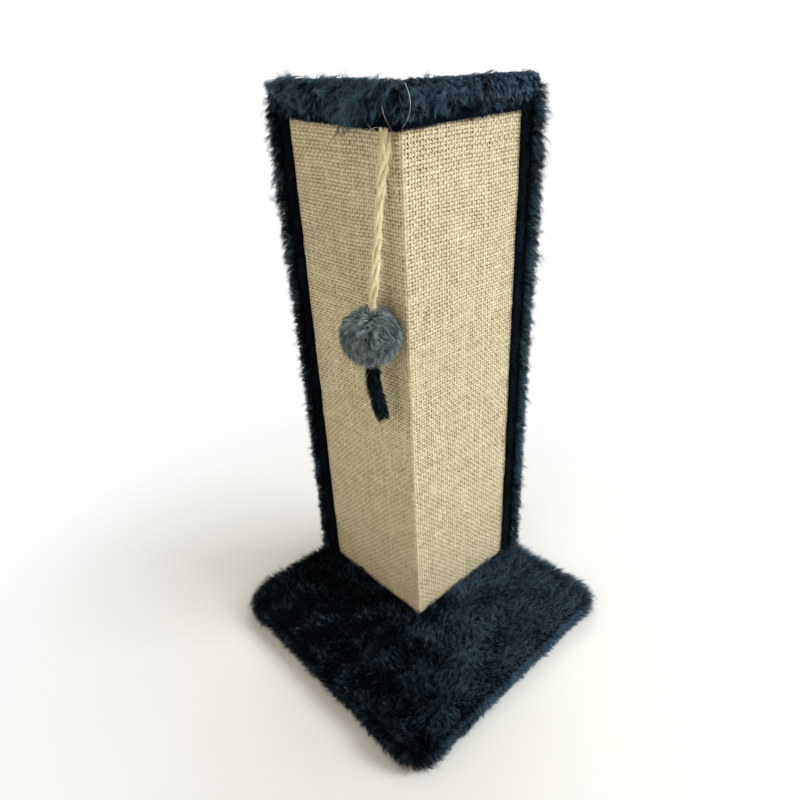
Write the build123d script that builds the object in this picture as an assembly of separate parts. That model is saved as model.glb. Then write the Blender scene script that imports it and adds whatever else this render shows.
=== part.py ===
from build123d import *
import math
import os

# Corner cat scratcher: two upright boards at a right angle on a square base, wrapped in
# long-pile plush, with sisal cloth on both outer faces and a rope toy on the left one.
# Millimetres. The origin is on the floor under the middle of the base and Z is up.
# The left wing runs along +Y and faces -X, the right wing runs along +X and faces -Y.

# Base board and the plush that wraps it
base_side = 300.0
base_board_thickness = 15.0
base_corner_radius = 25.0
base_pile_top = 5.0
base_pile_side = 10.0
base_edge_radius = 8.0
under_hem_thickness = 3.0
under_hem_width = 28.0

# Upright boards
panel_thickness = 12.0
panel_height = 572.0

# Sisal cloth, folded round the corner, and the part of it that shows on each face
sisal_thickness = 2.0
sisal_shown_width = 155.0
top_border_height = 28.0

# Plush on the uprights: the rolls round the edges, the back sheets and the folded hems
roll_front = 9.0
roll_wrap = 10.0
roll_radius = 7.5
back_pile = 6.0
side_roll_width = 8.5
hem_width = 9.0
hem_thickness = 4.5
hem_radius = 1.8

# Screws up through the base, nails at the corner
screw_diameter = 4.0
screw_head_diameter = 8.0
screw_head_depth = 2.4
screw_length = 45.0
screw_hole_clearance = 0.2
screw_pilot_diameter = 3.0
screw_inset = 40.0
nail_diameter = 2.2
nail_length = 45.0
nail_head_diameter = 5.0
nail_head_thickness = 1.2
nail_count = 5
nail_end_distance = 40.0

# Staples
staple_crown = 11.0
staple_leg = 8.0
staple_wire = 0.9
staple_sink = 0.4
hem_staple_inset = 14.0
hem_staple_count = 4
hem_staple_pitch = 62.0
cloth_staple_inset = 5.0
side_staple_count = 6
side_staple_end_distance = 35.0
top_staple_count = 3
top_staple_pitch = 42.0

# Rope toy: the flattened end under the top border, then the free rope. Each point of the
# route is given out from the left sisal face, along it from the corner, and down from the
# border's lower edge.
rope_diameter = 8.0
rope_anchor_width = 10.0
rope_anchor_thickness = 3.0
rope_anchor_length = 22.0
rope_notch_clearance = 0.3
rope_staple_crown = 12.4
rope_staple_height = 12.0
joint_gap = 0.3
rope_route = [
    (4.3, 13.0, 4.3),
    (5.1, 13.6, 20.5),
    (12.5, 15.3, 54.0),
    (19.5, 17.1, 110.0),
    (23.9, 19.5, 143.3),
]

# Fur ball on the rope's end, with its filling and the knot that holds it, and the tail. The
# tail's points are given in the same three ways, from the top of the tail.
ball_radius = 28.0
ball_shift = 1.5
rope_stand_off = 2.9
filling_radius = 18.0
knot_radius = 7.0
tail_diameter = 10.0
tail_stand_off = 3.5
tail_route = [
    (0.0, 0.0, 0.0),
    (-0.6, 0.2, 20.3),
    (-4.2, 0.1, 41.3),
    (-8.8, -0.5, 58.3),
]

# Levels and planes that follow from those sizes
board_bottom = under_hem_thickness
board_top = board_bottom + base_board_thickness
plush_top = board_top + base_pile_top
wing_end = base_side / 2
sisal_face = wing_end - sisal_shown_width - hem_width - side_roll_width
panel_face = sisal_face + sisal_thickness
panel_back = panel_face + panel_thickness
panel_middle = (panel_face + panel_back) / 2
panel_top = board_top + panel_height
roll_face = sisal_face - roll_front
back_face = panel_back + back_pile
border_bottom = panel_top - top_border_height
roll_bottom = border_bottom + hem_width
hem_inner = sisal_face + sisal_shown_width
hem_outer = hem_inner + hem_width
roll_end = wing_end + roll_wrap
roll_top = panel_top + roll_wrap
rope_radius = rope_diameter / 2
tail_radius = tail_diameter / 2


def toy_point(out, along, down):
    """A point given out from the left sisal face, along it and down from the border."""
    return (sisal_face - out, sisal_face + along, border_bottom - down)


rope_points = [toy_point(*place) for place in rope_route]
anchor_side = rope_points[0][1]
ball_out = ball_radius + joint_gap
ball_along = rope_route[-1][1] + ball_shift
ball_down = rope_route[-1][2] + ball_radius + rope_stand_off
ball_centre = toy_point(ball_out, ball_along, ball_down)
tail_top = (ball_out, ball_along, ball_down + ball_radius + tail_stand_off)
tail_points = [toy_point(*[a + b for a, b in zip(tail_top, place)]) for place in tail_route]


def slab(low, high):
    """Box between two corners."""
    size = [b - a for a, b in zip(low, high)]
    middle = [(a + b) / 2 for a, b in zip(low, high)]
    return Pos(*middle) * Box(*size)


def rounded_square(side, radius, low, high):
    """Upright block with a rounded square outline, centred on the origin."""
    outline = RectangleRounded(side, side, radius)
    return Pos(0, 0, low) * extrude(outline, high - low)


def right_wing(shape):
    """The same piece on the other wing: the left one mirrored in the corner's diagonal."""
    return mirror(shape, about=Plane(origin=(0, 0, 0), z_dir=(1, -1, 0)))


def mitred(shape):
    """The part of a left wing's piece that lies on its own side of the corner's diagonal."""
    reach = 2 * base_side
    corners = [(-reach, -reach), (reach, reach), (-reach, reach)]
    half = extrude(make_face(Polyline(*corners, close=True)), 2 * roll_top)
    return shape & half


def ball(centre, radius):
    """Sphere at a point."""
    return Pos(*centre) * Sphere(radius)


def rod(start, end, radius):
    """Round bar between two points."""
    axis = Vector(*end) - Vector(*start)
    return extrude(Plane(origin=start, z_dir=axis) * Circle(radius), axis.length)


def bend_radii(points, name):
    """Largest arcs that the runs of a route allow, one for each corner, also printed."""
    radii = []
    for before, here, after in zip(points, points[1:], points[2:]):
        run_in = Vector(*here) - Vector(*before)
        run_out = Vector(*after) - Vector(*here)
        turn = math.radians(run_in.get_angle(run_out))
        radii.append(0.45 * min(run_in.length, run_out.length) / math.tan(turn / 2))
    print(name, "bend radii", [round(r, 1) for r in radii])
    return radii


def tube(points, radius, name):
    """Tube along straight runs joined by tangent arcs."""
    path = FilletPolyline(*points, radius=bend_radii(points, name))
    section = Plane(origin=path @ 0, z_dir=path % 0) * Circle(radius)
    solid = sweep(section, path=path)
    expected = math.pi * radius * radius * path.length
    print(name, "length", round(path.length, 1), "volume ratio", round(solid.volume / expected, 4))
    return solid


# Base

def base_board():
    board = rounded_square(base_side, base_corner_radius, board_bottom, board_top)
    for x, y in screw_places():
        hole_radius = screw_diameter / 2 + screw_hole_clearance
        board -= rod((x, y, board_bottom), (x, y, board_top), hole_radius)
        board -= screw_head(x, y, screw_hole_clearance)
    return board


def panel_slot():
    """Room in the base's plush for the feet of the uprights and of the sisal cloth."""
    wing = slab((sisal_face, sisal_face, board_top), (panel_back, wing_end, plush_top))
    return wing + right_wing(wing)


def base_plush():
    outer_side = base_side + 2 * base_pile_side
    outer_radius = base_corner_radius + base_pile_side
    cover = rounded_square(outer_side, outer_radius, 0, plush_top)
    top_face = cover.faces().sort_by(Axis.Z)[-1]
    cover = fillet(top_face.edges(), base_edge_radius)
    window_side = base_side - 2 * under_hem_width
    cover -= rounded_square(base_side, base_corner_radius, board_bottom, board_top)
    cover -= slab((-window_side / 2, -window_side / 2, 0), (window_side / 2, window_side / 2, board_bottom))
    return cover - panel_slot()


# Uprights

def screw_places():
    """Two screws under each wing, as far from its ends as screw_inset says."""
    near = panel_face + screw_inset
    far = wing_end - screw_inset
    return [(panel_middle, near), (panel_middle, far), (near, panel_middle), (far, panel_middle)]


def screw_head(x, y, clearance=0.0):
    wide = screw_head_diameter / 2 + clearance
    narrow = screw_diameter / 2 + clearance
    head = Cone(wide, narrow, screw_head_depth, align=(Align.CENTER, Align.CENTER, Align.MIN))
    return Pos(x, y, board_bottom) * head


def base_screws():
    screws = []
    for x, y in screw_places():
        shank = rod((x, y, board_bottom), (x, y, board_bottom + screw_length), screw_diameter / 2)
        screws.append(screw_head(x, y) + shank)
    return Compound(children=screws)


def with_pilot_holes(board):
    hole_top = board_bottom + screw_length
    for x, y in screw_places():
        board -= rod((x, y, board_top), (x, y, hole_top), screw_pilot_diameter / 2)
    return board


def left_board():
    board = slab((panel_face, panel_face, board_top), (panel_back, wing_end, panel_top))
    return with_pilot_holes(board)


def right_board():
    board = slab((panel_back, panel_face, board_top), (wing_end, panel_back, panel_top))
    return with_pilot_holes(board)


def corner_nails():
    nails = []
    low = board_top + nail_end_distance
    high = panel_top - nail_end_distance
    for i in range(nail_count):
        z = low + (high - low) * i / (nail_count - 1)
        start = (panel_face, panel_middle, z)
        head_end = (panel_face + nail_head_thickness, panel_middle, z)
        tip = (panel_face + nail_length, panel_middle, z)
        nails.append(rod(start, head_end, nail_head_diameter / 2) + rod(start, tip, nail_diameter / 2))
    return Compound(children=nails)


# Coverings of the uprights

def sisal_cloth():
    left = slab((sisal_face, sisal_face, board_top), (panel_face, wing_end, panel_top))
    cloth = left + right_wing(left)
    fold = cloth.edges().filter_by(Axis.Z).sort_by(lambda e: e.center().X + e.center().Y)[0]
    return fillet(fold, sisal_thickness)


def wing_envelope():
    """Outside of the left wing's plush, with its rounded top and free end."""
    block = slab((roll_face, roll_face, plush_top), (back_face, roll_end, roll_top))
    upper = block.faces().sort_by(Axis.Z)[-1].edges()
    end = block.faces().sort_by(Axis.Y)[-1].edges().filter_by(Axis.Z)
    inner = block.faces().sort_by(Axis.Y)[0].edges()
    rounded = [edge for edge in upper if edge not in inner] + list(end)
    return mitred(fillet(rounded, roll_radius))


def rope_notch(thickness, width, low, high):
    """Groove behind the top border where the rope's flattened end lies."""
    middle = sisal_face - thickness / 2
    return Pos(middle, anchor_side, (low + high) / 2) * Box(thickness, width, high - low)


def top_plush():
    envelope = wing_envelope()
    cap = slab((roll_face, roll_face, panel_top), (back_face, roll_end, roll_top))
    leg = slab((roll_face, roll_face, roll_bottom), (sisal_face, wing_end, panel_top))
    return envelope & (cap + leg)


def left_top_plush():
    depth = rope_anchor_thickness + staple_wire + rope_notch_clearance
    width = rope_staple_crown + 2 * rope_notch_clearance
    notch_top = border_bottom + rope_anchor_length + rope_notch_clearance
    return top_plush() - rope_notch(depth, width, roll_bottom, notch_top)


def side_plush():
    envelope = wing_envelope()
    end = slab((roll_face, wing_end, plush_top), (back_face, roll_end, panel_top))
    leg = slab((roll_face, hem_outer, plush_top), (sisal_face, wing_end, roll_bottom))
    return envelope & (end + leg)


def back_plush():
    return mitred(slab((panel_back, panel_back, plush_top), (back_face, wing_end, panel_top)))


def hem(low, high, along):
    """Folded hem on the sisal's face, rounded on its two front edges."""
    strip = slab(low, high)
    front = strip.faces().sort_by(Axis.X)[0].edges().filter_by(along)
    return fillet(front, hem_radius)


def side_hem():
    low = (sisal_face - hem_thickness, hem_inner, plush_top)
    return hem(low, (sisal_face, hem_outer, roll_bottom), Axis.Z)


def top_hem():
    low = (sisal_face - hem_thickness, sisal_face - hem_thickness, border_bottom)
    return mitred(hem(low, (sisal_face, hem_inner, roll_bottom), Axis.Y))


def left_top_hem():
    depth = rope_anchor_thickness + rope_notch_clearance
    width = rope_anchor_width + 2 * rope_notch_clearance
    return top_hem() - rope_notch(depth, width, border_bottom, roll_bottom)


# Staples

def staple(crown, leg):
    """Staple with its crown along X at Z 0 and its legs up, centred on the origin."""
    bridge = slab((-crown / 2, -staple_wire / 2, 0), (crown / 2, staple_wire / 2, staple_wire))
    limb = slab((-crown / 2, -staple_wire / 2, 0), (staple_wire - crown / 2, staple_wire / 2, leg))
    return bridge + limb + mirror(limb, about=Plane.YZ)


def into_left_board(shape, crown_up):
    """Turns a staple so that its legs point along +X and its crown lies along Z or Y."""
    turned = Rot(0, 90, 0) * shape
    return turned if crown_up else Rot(90, 0, 0) * turned


def hem_staples():
    staples = []
    for quarter in range(4):
        for i in range(hem_staple_count):
            along = (i - (hem_staple_count - 1) / 2) * hem_staple_pitch
            place = Pos(along, wing_end - hem_staple_inset, staple_sink)
            staples.append(Rot(0, 0, 90 * quarter) * (place * staple(staple_crown, staple_leg)))
    return Compound(children=staples)


def cloth_staples():
    left = []
    one = staple(staple_crown, staple_leg)
    low = plush_top + side_staple_end_distance
    high = border_bottom - side_staple_end_distance
    for i in range(side_staple_count):
        z = low + (high - low) * i / (side_staple_count - 1)
        place = Pos(sisal_face, wing_end - cloth_staple_inset, z)
        left.append(place * into_left_board(one, crown_up=True))
    for i in range(top_staple_count):
        y = hem_inner - top_staple_pitch * (i + 0.5)
        place = Pos(sisal_face, y, panel_top - cloth_staple_inset)
        left.append(place * into_left_board(one, crown_up=False))
    return Compound(children=left + [right_wing(one_left) for one_left in left])


# Rope toy

def rope_anchor():
    low_x = sisal_face - rope_anchor_thickness
    half = rope_anchor_width / 2
    high_z = border_bottom + rope_anchor_length
    return slab((low_x, anchor_side - half, border_bottom), (sisal_face, anchor_side + half, high_z))


def rope_staple():
    leg = staple_leg + rope_anchor_thickness + sisal_thickness
    shape = into_left_board(staple(rope_staple_crown, leg), crown_up=False)
    front = sisal_face - rope_anchor_thickness - staple_wire
    return Pos(front, anchor_side, border_bottom + rope_staple_height) * shape


def toy_rope_top():
    """The rope's first stretch: it turns sideways about its rounded upper end."""
    start = Vector(*rope_points[0])
    pivot = Vector(*rope_points[1])
    way = (pivot - start).normalized()
    end = pivot - way * (rope_radius + joint_gap)
    return ball(rope_points[0], rope_radius) + rod(start, end, rope_radius)


def toy_rope():
    """The free rope, from the point where it lifts off the face to the fur ball."""
    points = rope_points[1:]
    swept = tube(points, rope_radius, "toy_rope")
    return ball(points[0], rope_radius) + swept + ball(points[-1], rope_radius)


def rope_seat(gap):
    return ball(rope_points[-1], rope_radius + gap)


def ball_skin():
    skin = ball(ball_centre, ball_radius) - ball(ball_centre, filling_radius)
    skin -= rod(ball_centre, rope_points[-1], rope_radius + joint_gap / 2)
    return skin - rope_seat(joint_gap) - ball(tail_points[0], tail_radius + joint_gap)


def ball_filling():
    core = ball(ball_centre, filling_radius) - ball(ball_centre, knot_radius)
    return core - rod(ball_centre, rope_points[-1], rope_radius + joint_gap / 2)


def rope_knot():
    knot = ball(ball_centre, knot_radius) + rod(ball_centre, rope_points[-1], rope_radius)
    return knot - rope_seat(joint_gap)


def toy_tail():
    swept = tube(tail_points, tail_radius, "toy_tail")
    return ball(tail_points[0], tail_radius) + swept + ball(tail_points[-1], tail_radius)


nodes = {
    "base_board": base_board(),
    "base_plush": base_plush(),
    "base_screws": base_screws(),
    "hem_staples": hem_staples(),
    "left_board": left_board(),
    "right_board": right_board(),
    "corner_nails": corner_nails(),
    "sisal_cloth": sisal_cloth(),
    "cloth_staples": cloth_staples(),
    "left_back_plush": back_plush(),
    "right_back_plush": right_wing(back_plush()),
    "left_top_plush": left_top_plush(),
    "right_top_plush": right_wing(top_plush()),
    "left_side_plush": side_plush(),
    "right_side_plush": right_wing(side_plush()),
    "left_top_hem": left_top_hem(),
    "right_top_hem": right_wing(top_hem()),
    "left_side_hem": side_hem(),
    "right_side_hem": right_wing(side_hem()),
    "rope_anchor": rope_anchor(),
    "rope_staple": rope_staple(),
    "toy_rope_top": toy_rope_top(),
    "toy_rope": toy_rope(),
    "fur_ball_skin": ball_skin(),
    "fur_ball_filling": ball_filling(),
    "rope_knot": rope_knot(),
    "toy_tail": toy_tail(),
}

os.makedirs("parts", exist_ok=True)
for name, shape in nodes.items():
    export_step(shape, f"parts/{name}.step")
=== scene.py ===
"""Looks of the corner cat scratcher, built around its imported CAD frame.

Sizes are in millimetres.
"""
import logging
import math
from collections.abc import Callable
from dataclasses import dataclass, replace
from enum import Enum

import bpy
import numpy as np
from mathutils import Matrix, Vector, kdtree


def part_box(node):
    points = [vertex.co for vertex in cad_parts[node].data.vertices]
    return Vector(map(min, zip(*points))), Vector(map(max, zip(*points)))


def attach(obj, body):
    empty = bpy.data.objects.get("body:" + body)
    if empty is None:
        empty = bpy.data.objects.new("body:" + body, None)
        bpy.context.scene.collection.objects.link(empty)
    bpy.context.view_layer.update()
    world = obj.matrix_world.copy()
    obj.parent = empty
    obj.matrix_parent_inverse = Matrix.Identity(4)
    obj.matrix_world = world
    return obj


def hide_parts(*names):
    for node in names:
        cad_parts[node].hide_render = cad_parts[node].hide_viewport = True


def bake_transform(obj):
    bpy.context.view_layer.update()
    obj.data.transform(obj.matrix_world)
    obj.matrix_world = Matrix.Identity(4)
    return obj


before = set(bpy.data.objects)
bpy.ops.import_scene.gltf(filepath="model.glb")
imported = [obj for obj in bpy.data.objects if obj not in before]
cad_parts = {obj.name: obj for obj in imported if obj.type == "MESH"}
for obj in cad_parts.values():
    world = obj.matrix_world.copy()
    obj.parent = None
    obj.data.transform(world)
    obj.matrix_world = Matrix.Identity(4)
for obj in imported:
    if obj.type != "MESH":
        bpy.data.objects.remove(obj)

MM = 0.001
TURN = 2 * math.pi
FAR_PILE = 168.0
BAKE_MAP = "OFBake"
LEAST_FIELD = 0.01

Colour = tuple[float, float, float]
Triple = tuple[float, float, float]
Clear = Callable[[np.ndarray], None]
Grade = Callable[[np.ndarray], np.ndarray]
log = logging.getLogger("scratcher")


class Slot(Enum):
    """The record's material slots."""

    BOARD = "board"
    PLUSH = "plush"
    HEM = "hem"
    SISAL = "sisal"
    ROPE = "rope"
    BALL = "ball_fur"
    FILLING = "filling"
    STEEL = "steel"


class Side(Enum):
    """The two uprights. The right one is the left one mirrored in the corner's diagonal."""

    LEFT = "left"
    RIGHT = "right"

    def place(self, values: np.ndarray) -> np.ndarray:
        """Points or directions of the left upright, brought to this one."""
        return values if self is Side.LEFT else values[..., [1, 0, 2]]


# Shader sums


class Tone:
    """A node's output that takes part in sums."""

    def __init__(self, shop: "Shop", socket: bpy.types.NodeSocket) -> None:
        self.shop = shop
        self.socket = socket

    def _math(self, operation: str, first: "Tone | float", second: "Tone | float") -> "Tone":
        """One Math node on two values."""
        return self.shop.node("ShaderNodeMath", {"operation": operation}, {0: first, 1: second})

    def __add__(self, other: "Tone | float") -> "Tone":
        """Sum."""
        return self._math("ADD", self, other)

    __radd__ = __add__

    def __mul__(self, other: "Tone | float") -> "Tone":
        """Product."""
        return self._math("MULTIPLY", self, other)

    __rmul__ = __mul__

    def __sub__(self, other: "Tone | float") -> "Tone":
        """Difference."""
        return self._math("SUBTRACT", self, other)

    def __rsub__(self, other: "Tone | float") -> "Tone":
        """Difference from a number."""
        return self._math("SUBTRACT", other, self)

    def largest(self, other: "Tone | float") -> "Tone":
        """The larger of two values."""
        return self._math("MAXIMUM", self, other)


class Shop:
    """A node tree and the ways to add to it."""

    def __init__(self, tree: bpy.types.NodeTree) -> None:
        self.tree = tree
        tree.nodes.clear()

    def node(self, kind: str, settings: dict | None = None, inputs: dict | None = None,
             output: int | str = 0) -> Tone:
        """Adds a node.

        Args:
            kind: The node's type.
            settings: Its properties, and under "stops" the positions and colours of a ramp.
            inputs: Values or other outputs, by the socket's name or number.
            output: The output that is wanted.

        Returns:
            That output.
        """
        made = self.tree.nodes.new(kind)
        for name, value in (settings or {}).items():
            if name == "stops":
                self._stops(made.color_ramp.elements, value)
            else:
                setattr(made, name, value)
        for name, value in (inputs or {}).items():
            socket = made.inputs[name]
            if isinstance(value, Tone):
                self.tree.links.new(value.socket, socket)
            elif isinstance(value, tuple) and len(socket.default_value) == 4:
                socket.default_value = (*value, 1.0)
            else:
                socket.default_value = value
        return Tone(self, made.outputs[output])

    @staticmethod
    def _stops(elements: bpy.types.ColorRampElements, stops: list[tuple[float, Colour]]) -> None:
        """Sets a ramp's stops."""
        while len(elements) < len(stops):
            elements.new(1.0)
        for element, (place, colour) in zip(elements, stops):
            element.position = place
            element.color = (*colour, 1.0)

    def mix(self, factor: Tone | float, first: Tone | Colour, second: Tone | Colour) -> Tone:
        """A colour between two others."""
        return self.node("ShaderNodeMix", {"data_type": "RGBA"}, {0: factor, 6: first, 7: second}, 2)

    def tint(self, factor: Tone | float, first: Tone | Colour, second: Tone | Colour) -> Tone:
        """A colour multiplied by another."""
        settings = {"data_type": "RGBA", "blend_type": "MULTIPLY"}
        return self.node("ShaderNodeMix", settings, {0: factor, 6: first, 7: second}, 2)

    def ramp(self, value: Tone, low: float, high: float) -> Tone:
        """0 below low, 1 above high, and a straight line between."""
        inputs = {"Value": value, "From Min": low, "From Max": high}
        return self.node("ShaderNodeMapRange", {"clamp": True}, inputs)

    def place(self, scale: Triple, surface: bool = False) -> Tone:
        """Stretched coordinates.

        Args:
            scale: The stretch along each axis.
            surface: Whether they come from the mesh's own map and not from space.

        Returns:
            The vector.
        """
        if surface:
            source = self.node("ShaderNodeUVMap", {"uv_map": BAKE_MAP})
        else:
            source = self.node("ShaderNodeTexCoord", None, None, "Object")
        return self.node("ShaderNodeMapping", None, {"Vector": source, "Scale": scale})

    def noise(self, where: Tone, scale: float, detail: float = 4.0, rough: float = 0.5) -> Tone:
        """Noise from 0 to 1."""
        inputs = {"Vector": where, "Scale": scale, "Detail": detail, "Roughness": rough}
        return self.node("ShaderNodeTexNoise", None, inputs)

    def bump(self, height: Tone, strength: float, depth: float) -> Tone:
        """A normal from heights, depth in metres."""
        inputs = {"Height": height, "Strength": strength, "Distance": depth}
        return self.node("ShaderNodeBump", None, inputs)


def dress(name: str, build: Callable[["Shop"], dict]) -> bpy.types.Material:
    """A material whose surface is a Principled shader.

    Args:
        name: The material's name.
        build: A function that takes the Shop and returns the shader's inputs.

    Returns:
        The material.
    """
    material = bpy.data.materials.new(name)
    material.use_nodes = True
    shop = Shop(material.node_tree)
    surface = shop.node("ShaderNodeBsdfPrincipled", None, build(shop))
    output = shop.tree.nodes.new("ShaderNodeOutputMaterial")
    shop.tree.links.new(surface.socket, output.inputs["Surface"])
    return material


# Finishes


class Finish:
    """A named surface. Each kind gives the inputs of its own shader."""

    def material(self) -> bpy.types.Material:
        """The material."""
        return dress(self.name, self._surface)


@dataclass(frozen=True)
class PileFinish(Finish):
    """Fibres whose colour runs from root to tip and from a dark strand to a light one.

    The mesh's own map holds the strand's tone and the way along it.
    """

    name: str
    dark_root: Colour
    dark_tip: Colour
    light_root: Colour
    light_tip: Colour
    rough: float = 0.5
    shine: float = 0.4
    streak: float = 0.0

    def _surface(self, shop: Shop) -> dict:
        """Inputs of the shader."""
        where = shop.place((1.0, 1.0, 1.0), surface=True)
        split = shop.node("ShaderNodeSeparateXYZ", None, {0: where})
        along = Tone(shop, split.socket.node.outputs[1])
        dark = shop.mix(along, self.dark_root, self.dark_tip)
        light = shop.mix(along, self.light_root, self.light_tip)
        colour = shop.mix(split, dark, light)
        if self.streak:
            fibre = shop.noise(shop.place((70.0, 260.0, 1.0), surface=True), 1.0, 3.0)
            shade = tuple(1.0 - self.streak * weight for weight in (1.0, 1.1, 1.35))
            colour = shop.tint(shop.ramp(fibre, 0.4, 0.65), colour, shade)
        return {"Base Color": colour, "Roughness": self.rough, "Specular IOR Level": self.shine}


@dataclass(frozen=True)
class ClothFinish(Finish):
    """A napped or plain cloth with a mottled colour."""

    name: str
    dark: Colour
    light: Colour
    grain: float = 900.0
    rough: float = 0.85
    depth: float = 0.0004

    def _surface(self, shop: Shop) -> dict:
        """Inputs of the shader."""
        where = shop.place((1.0, 1.0, 1.0))
        patches = shop.noise(where, 35.0, 3.0)
        grain = shop.noise(where, self.grain, 2.0, 0.7)
        colour = shop.mix(shop.ramp(patches * 0.6 + grain * 0.4, 0.35, 0.65), self.dark, self.light)
        return {"Base Color": colour, "Roughness": self.rough, "Specular IOR Level": 0.03,
                "Normal": shop.bump(grain, 0.5, self.depth)}


@dataclass(frozen=True)
class RopeFinish(Finish):
    """Laid fibres along each strand. The mesh's own map runs round the strands and along the rope."""

    name: str
    dark: Colour
    light: Colour
    rough: float = 0.7

    def _surface(self, shop: Shop) -> dict:
        """Inputs of the shader."""
        fibres = shop.noise(shop.place((34.0, 6.0, 1.0), surface=True), 1.0, 5.0, 0.65)
        stains = shop.noise(shop.place((3.0, 9.0, 1.0), surface=True), 1.0, 2.0)
        colour = shop.mix(shop.ramp(fibres, 0.3, 0.7), self.dark, self.light)
        colour = shop.tint(shop.ramp(stains, 0.45, 0.8), colour, (0.86, 0.8, 0.68))
        return {"Base Color": colour, "Roughness": self.rough, "Specular IOR Level": 0.25,
                "Normal": shop.bump(fibres, 0.7, 0.0004)}


@dataclass(frozen=True)
class BoardFinish(Finish):
    """Pressed wood board: pale chips of several tones under a fine grain."""

    name: str = "pressed_wood"
    dark: Colour = (0.34, 0.22, 0.12)
    light: Colour = (0.62, 0.47, 0.3)

    def _surface(self, shop: Shop) -> dict:
        """Inputs of the shader."""
        where = shop.place((1.0, 1.0, 1.0))
        chips = shop.node("ShaderNodeTexVoronoi", {"feature": "F1"},
                          {"Vector": where, "Scale": 260.0, "Randomness": 1.0}, "Color")
        chip = shop.node("ShaderNodeSeparateXYZ", None, {0: chips})
        grain = shop.noise(where, 700.0, 3.0)
        colour = shop.mix(chip * 0.7 + grain * 0.3, self.dark, self.light)
        return {"Base Color": colour, "Roughness": 0.55 + grain * 0.25,
                "Normal": shop.bump(chip * 0.5 + grain, 0.4, 0.0003)}


@dataclass(frozen=True)
class SteelFinish(Finish):
    """Drawn steel wire and plated heads."""

    name: str = "bright_steel"
    colour: Colour = (0.6, 0.6, 0.58)

    def _surface(self, shop: Shop) -> dict:
        """Inputs of the shader."""
        scratches = shop.noise(shop.place((1.0, 1.0, 12.0)), 900.0, 3.0)
        dull = shop.noise(shop.place((1.0, 1.0, 1.0)), 220.0, 2.0)
        shade = tuple(0.72 * part for part in self.colour)
        return {"Base Color": shop.mix(shop.ramp(dull, 0.4, 0.7), self.colour, shade), "Metallic": 1.0,
                "Roughness": 0.28 + scratches * 0.25, "Normal": shop.bump(scratches, 0.2, 0.0001)}


# PLUSH and NAP: the light strands' blue-grey stands for the fur's sheen where light rakes it. It is painted
# highlight, spread at random over strands, clumps and patches.
PLUSH = PileFinish("black_plush", (0.0008, 0.001, 0.0014), (0.0016, 0.002, 0.003),
                   (0.007, 0.013, 0.02), (0.19, 0.34, 0.5), 0.6, 0.03)
NAP = PileFinish("hem_nap", (0.001, 0.0012, 0.0018), (0.002, 0.003, 0.006),
                 (0.008, 0.013, 0.024), (0.05, 0.085, 0.15), 0.6, 0.03)
BALL_FUR = PileFinish("grey_fur", (0.014, 0.022, 0.028), (0.026, 0.044, 0.054),
                      (0.14, 0.21, 0.26), (0.82, 0.97, 1.0), 0.5, 0.2)
YARN = PileFinish("sisal_yarn", (0.66, 0.55, 0.33), (0.7, 0.59, 0.37),
                  (0.95, 0.88, 0.68), (0.99, 0.93, 0.74), 0.8, 0.12, 0.3)
STRAW = PileFinish("straw_fibre", (0.74, 0.62, 0.36), (0.82, 0.7, 0.42),
                   (0.96, 0.88, 0.62), (1.0, 0.94, 0.72), 0.6, 0.2)
PALE = PileFinish("pale_fibre", (0.7, 0.7, 0.66), (0.8, 0.8, 0.76),
                  (0.95, 0.95, 0.92), (1.0, 1.0, 0.97), 0.5, 0.3)
BACKING = ClothFinish("plush_backing", (0.0012, 0.0015, 0.002), (0.004, 0.005, 0.007))
HEM_CLOTH = ClothFinish("hem_cloth", (0.0015, 0.002, 0.0035), (0.006, 0.009, 0.018), 1500.0)
SISAL_BACK = ClothFinish("sisal_back", (0.13, 0.085, 0.03), (0.22, 0.155, 0.065), 600.0)
BALL_SKIN = ClothFinish("ball_skin", (0.03, 0.04, 0.05), (0.06, 0.08, 0.1), 1200.0)
BATTING = ClothFinish("white_batting", (0.72, 0.72, 0.7), (0.86, 0.86, 0.84), 400.0, depth=0.0008)
ROPE = RopeFinish("laid_rope", (0.64, 0.49, 0.22), (1.0, 0.97, 0.76))


# Numbers and meshes


def unit(values: np.ndarray) -> np.ndarray:
    """Vectors brought to length 1."""
    return values / np.maximum(np.linalg.norm(values, axis=-1, keepdims=True), 1e-9)


class Drift:
    """A smooth random value over space, made of a few waves."""

    def __init__(self, seed: int, size: float, waves: int = 9) -> None:
        rng = np.random.default_rng(seed)
        steps = TURN / (size * rng.uniform(0.7, 1.8, (waves, 1)))
        self.ways = unit(rng.normal(size=(waves, 3))) * steps
        self.starts = rng.uniform(0, TURN, waves)
        self.level = math.sqrt(2.0 / waves)

    def __call__(self, places: np.ndarray) -> np.ndarray:
        """The value at each place, mostly from -2 to 2."""
        return np.sin(places @ self.ways.T + self.starts).sum(-1) * self.level


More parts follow.
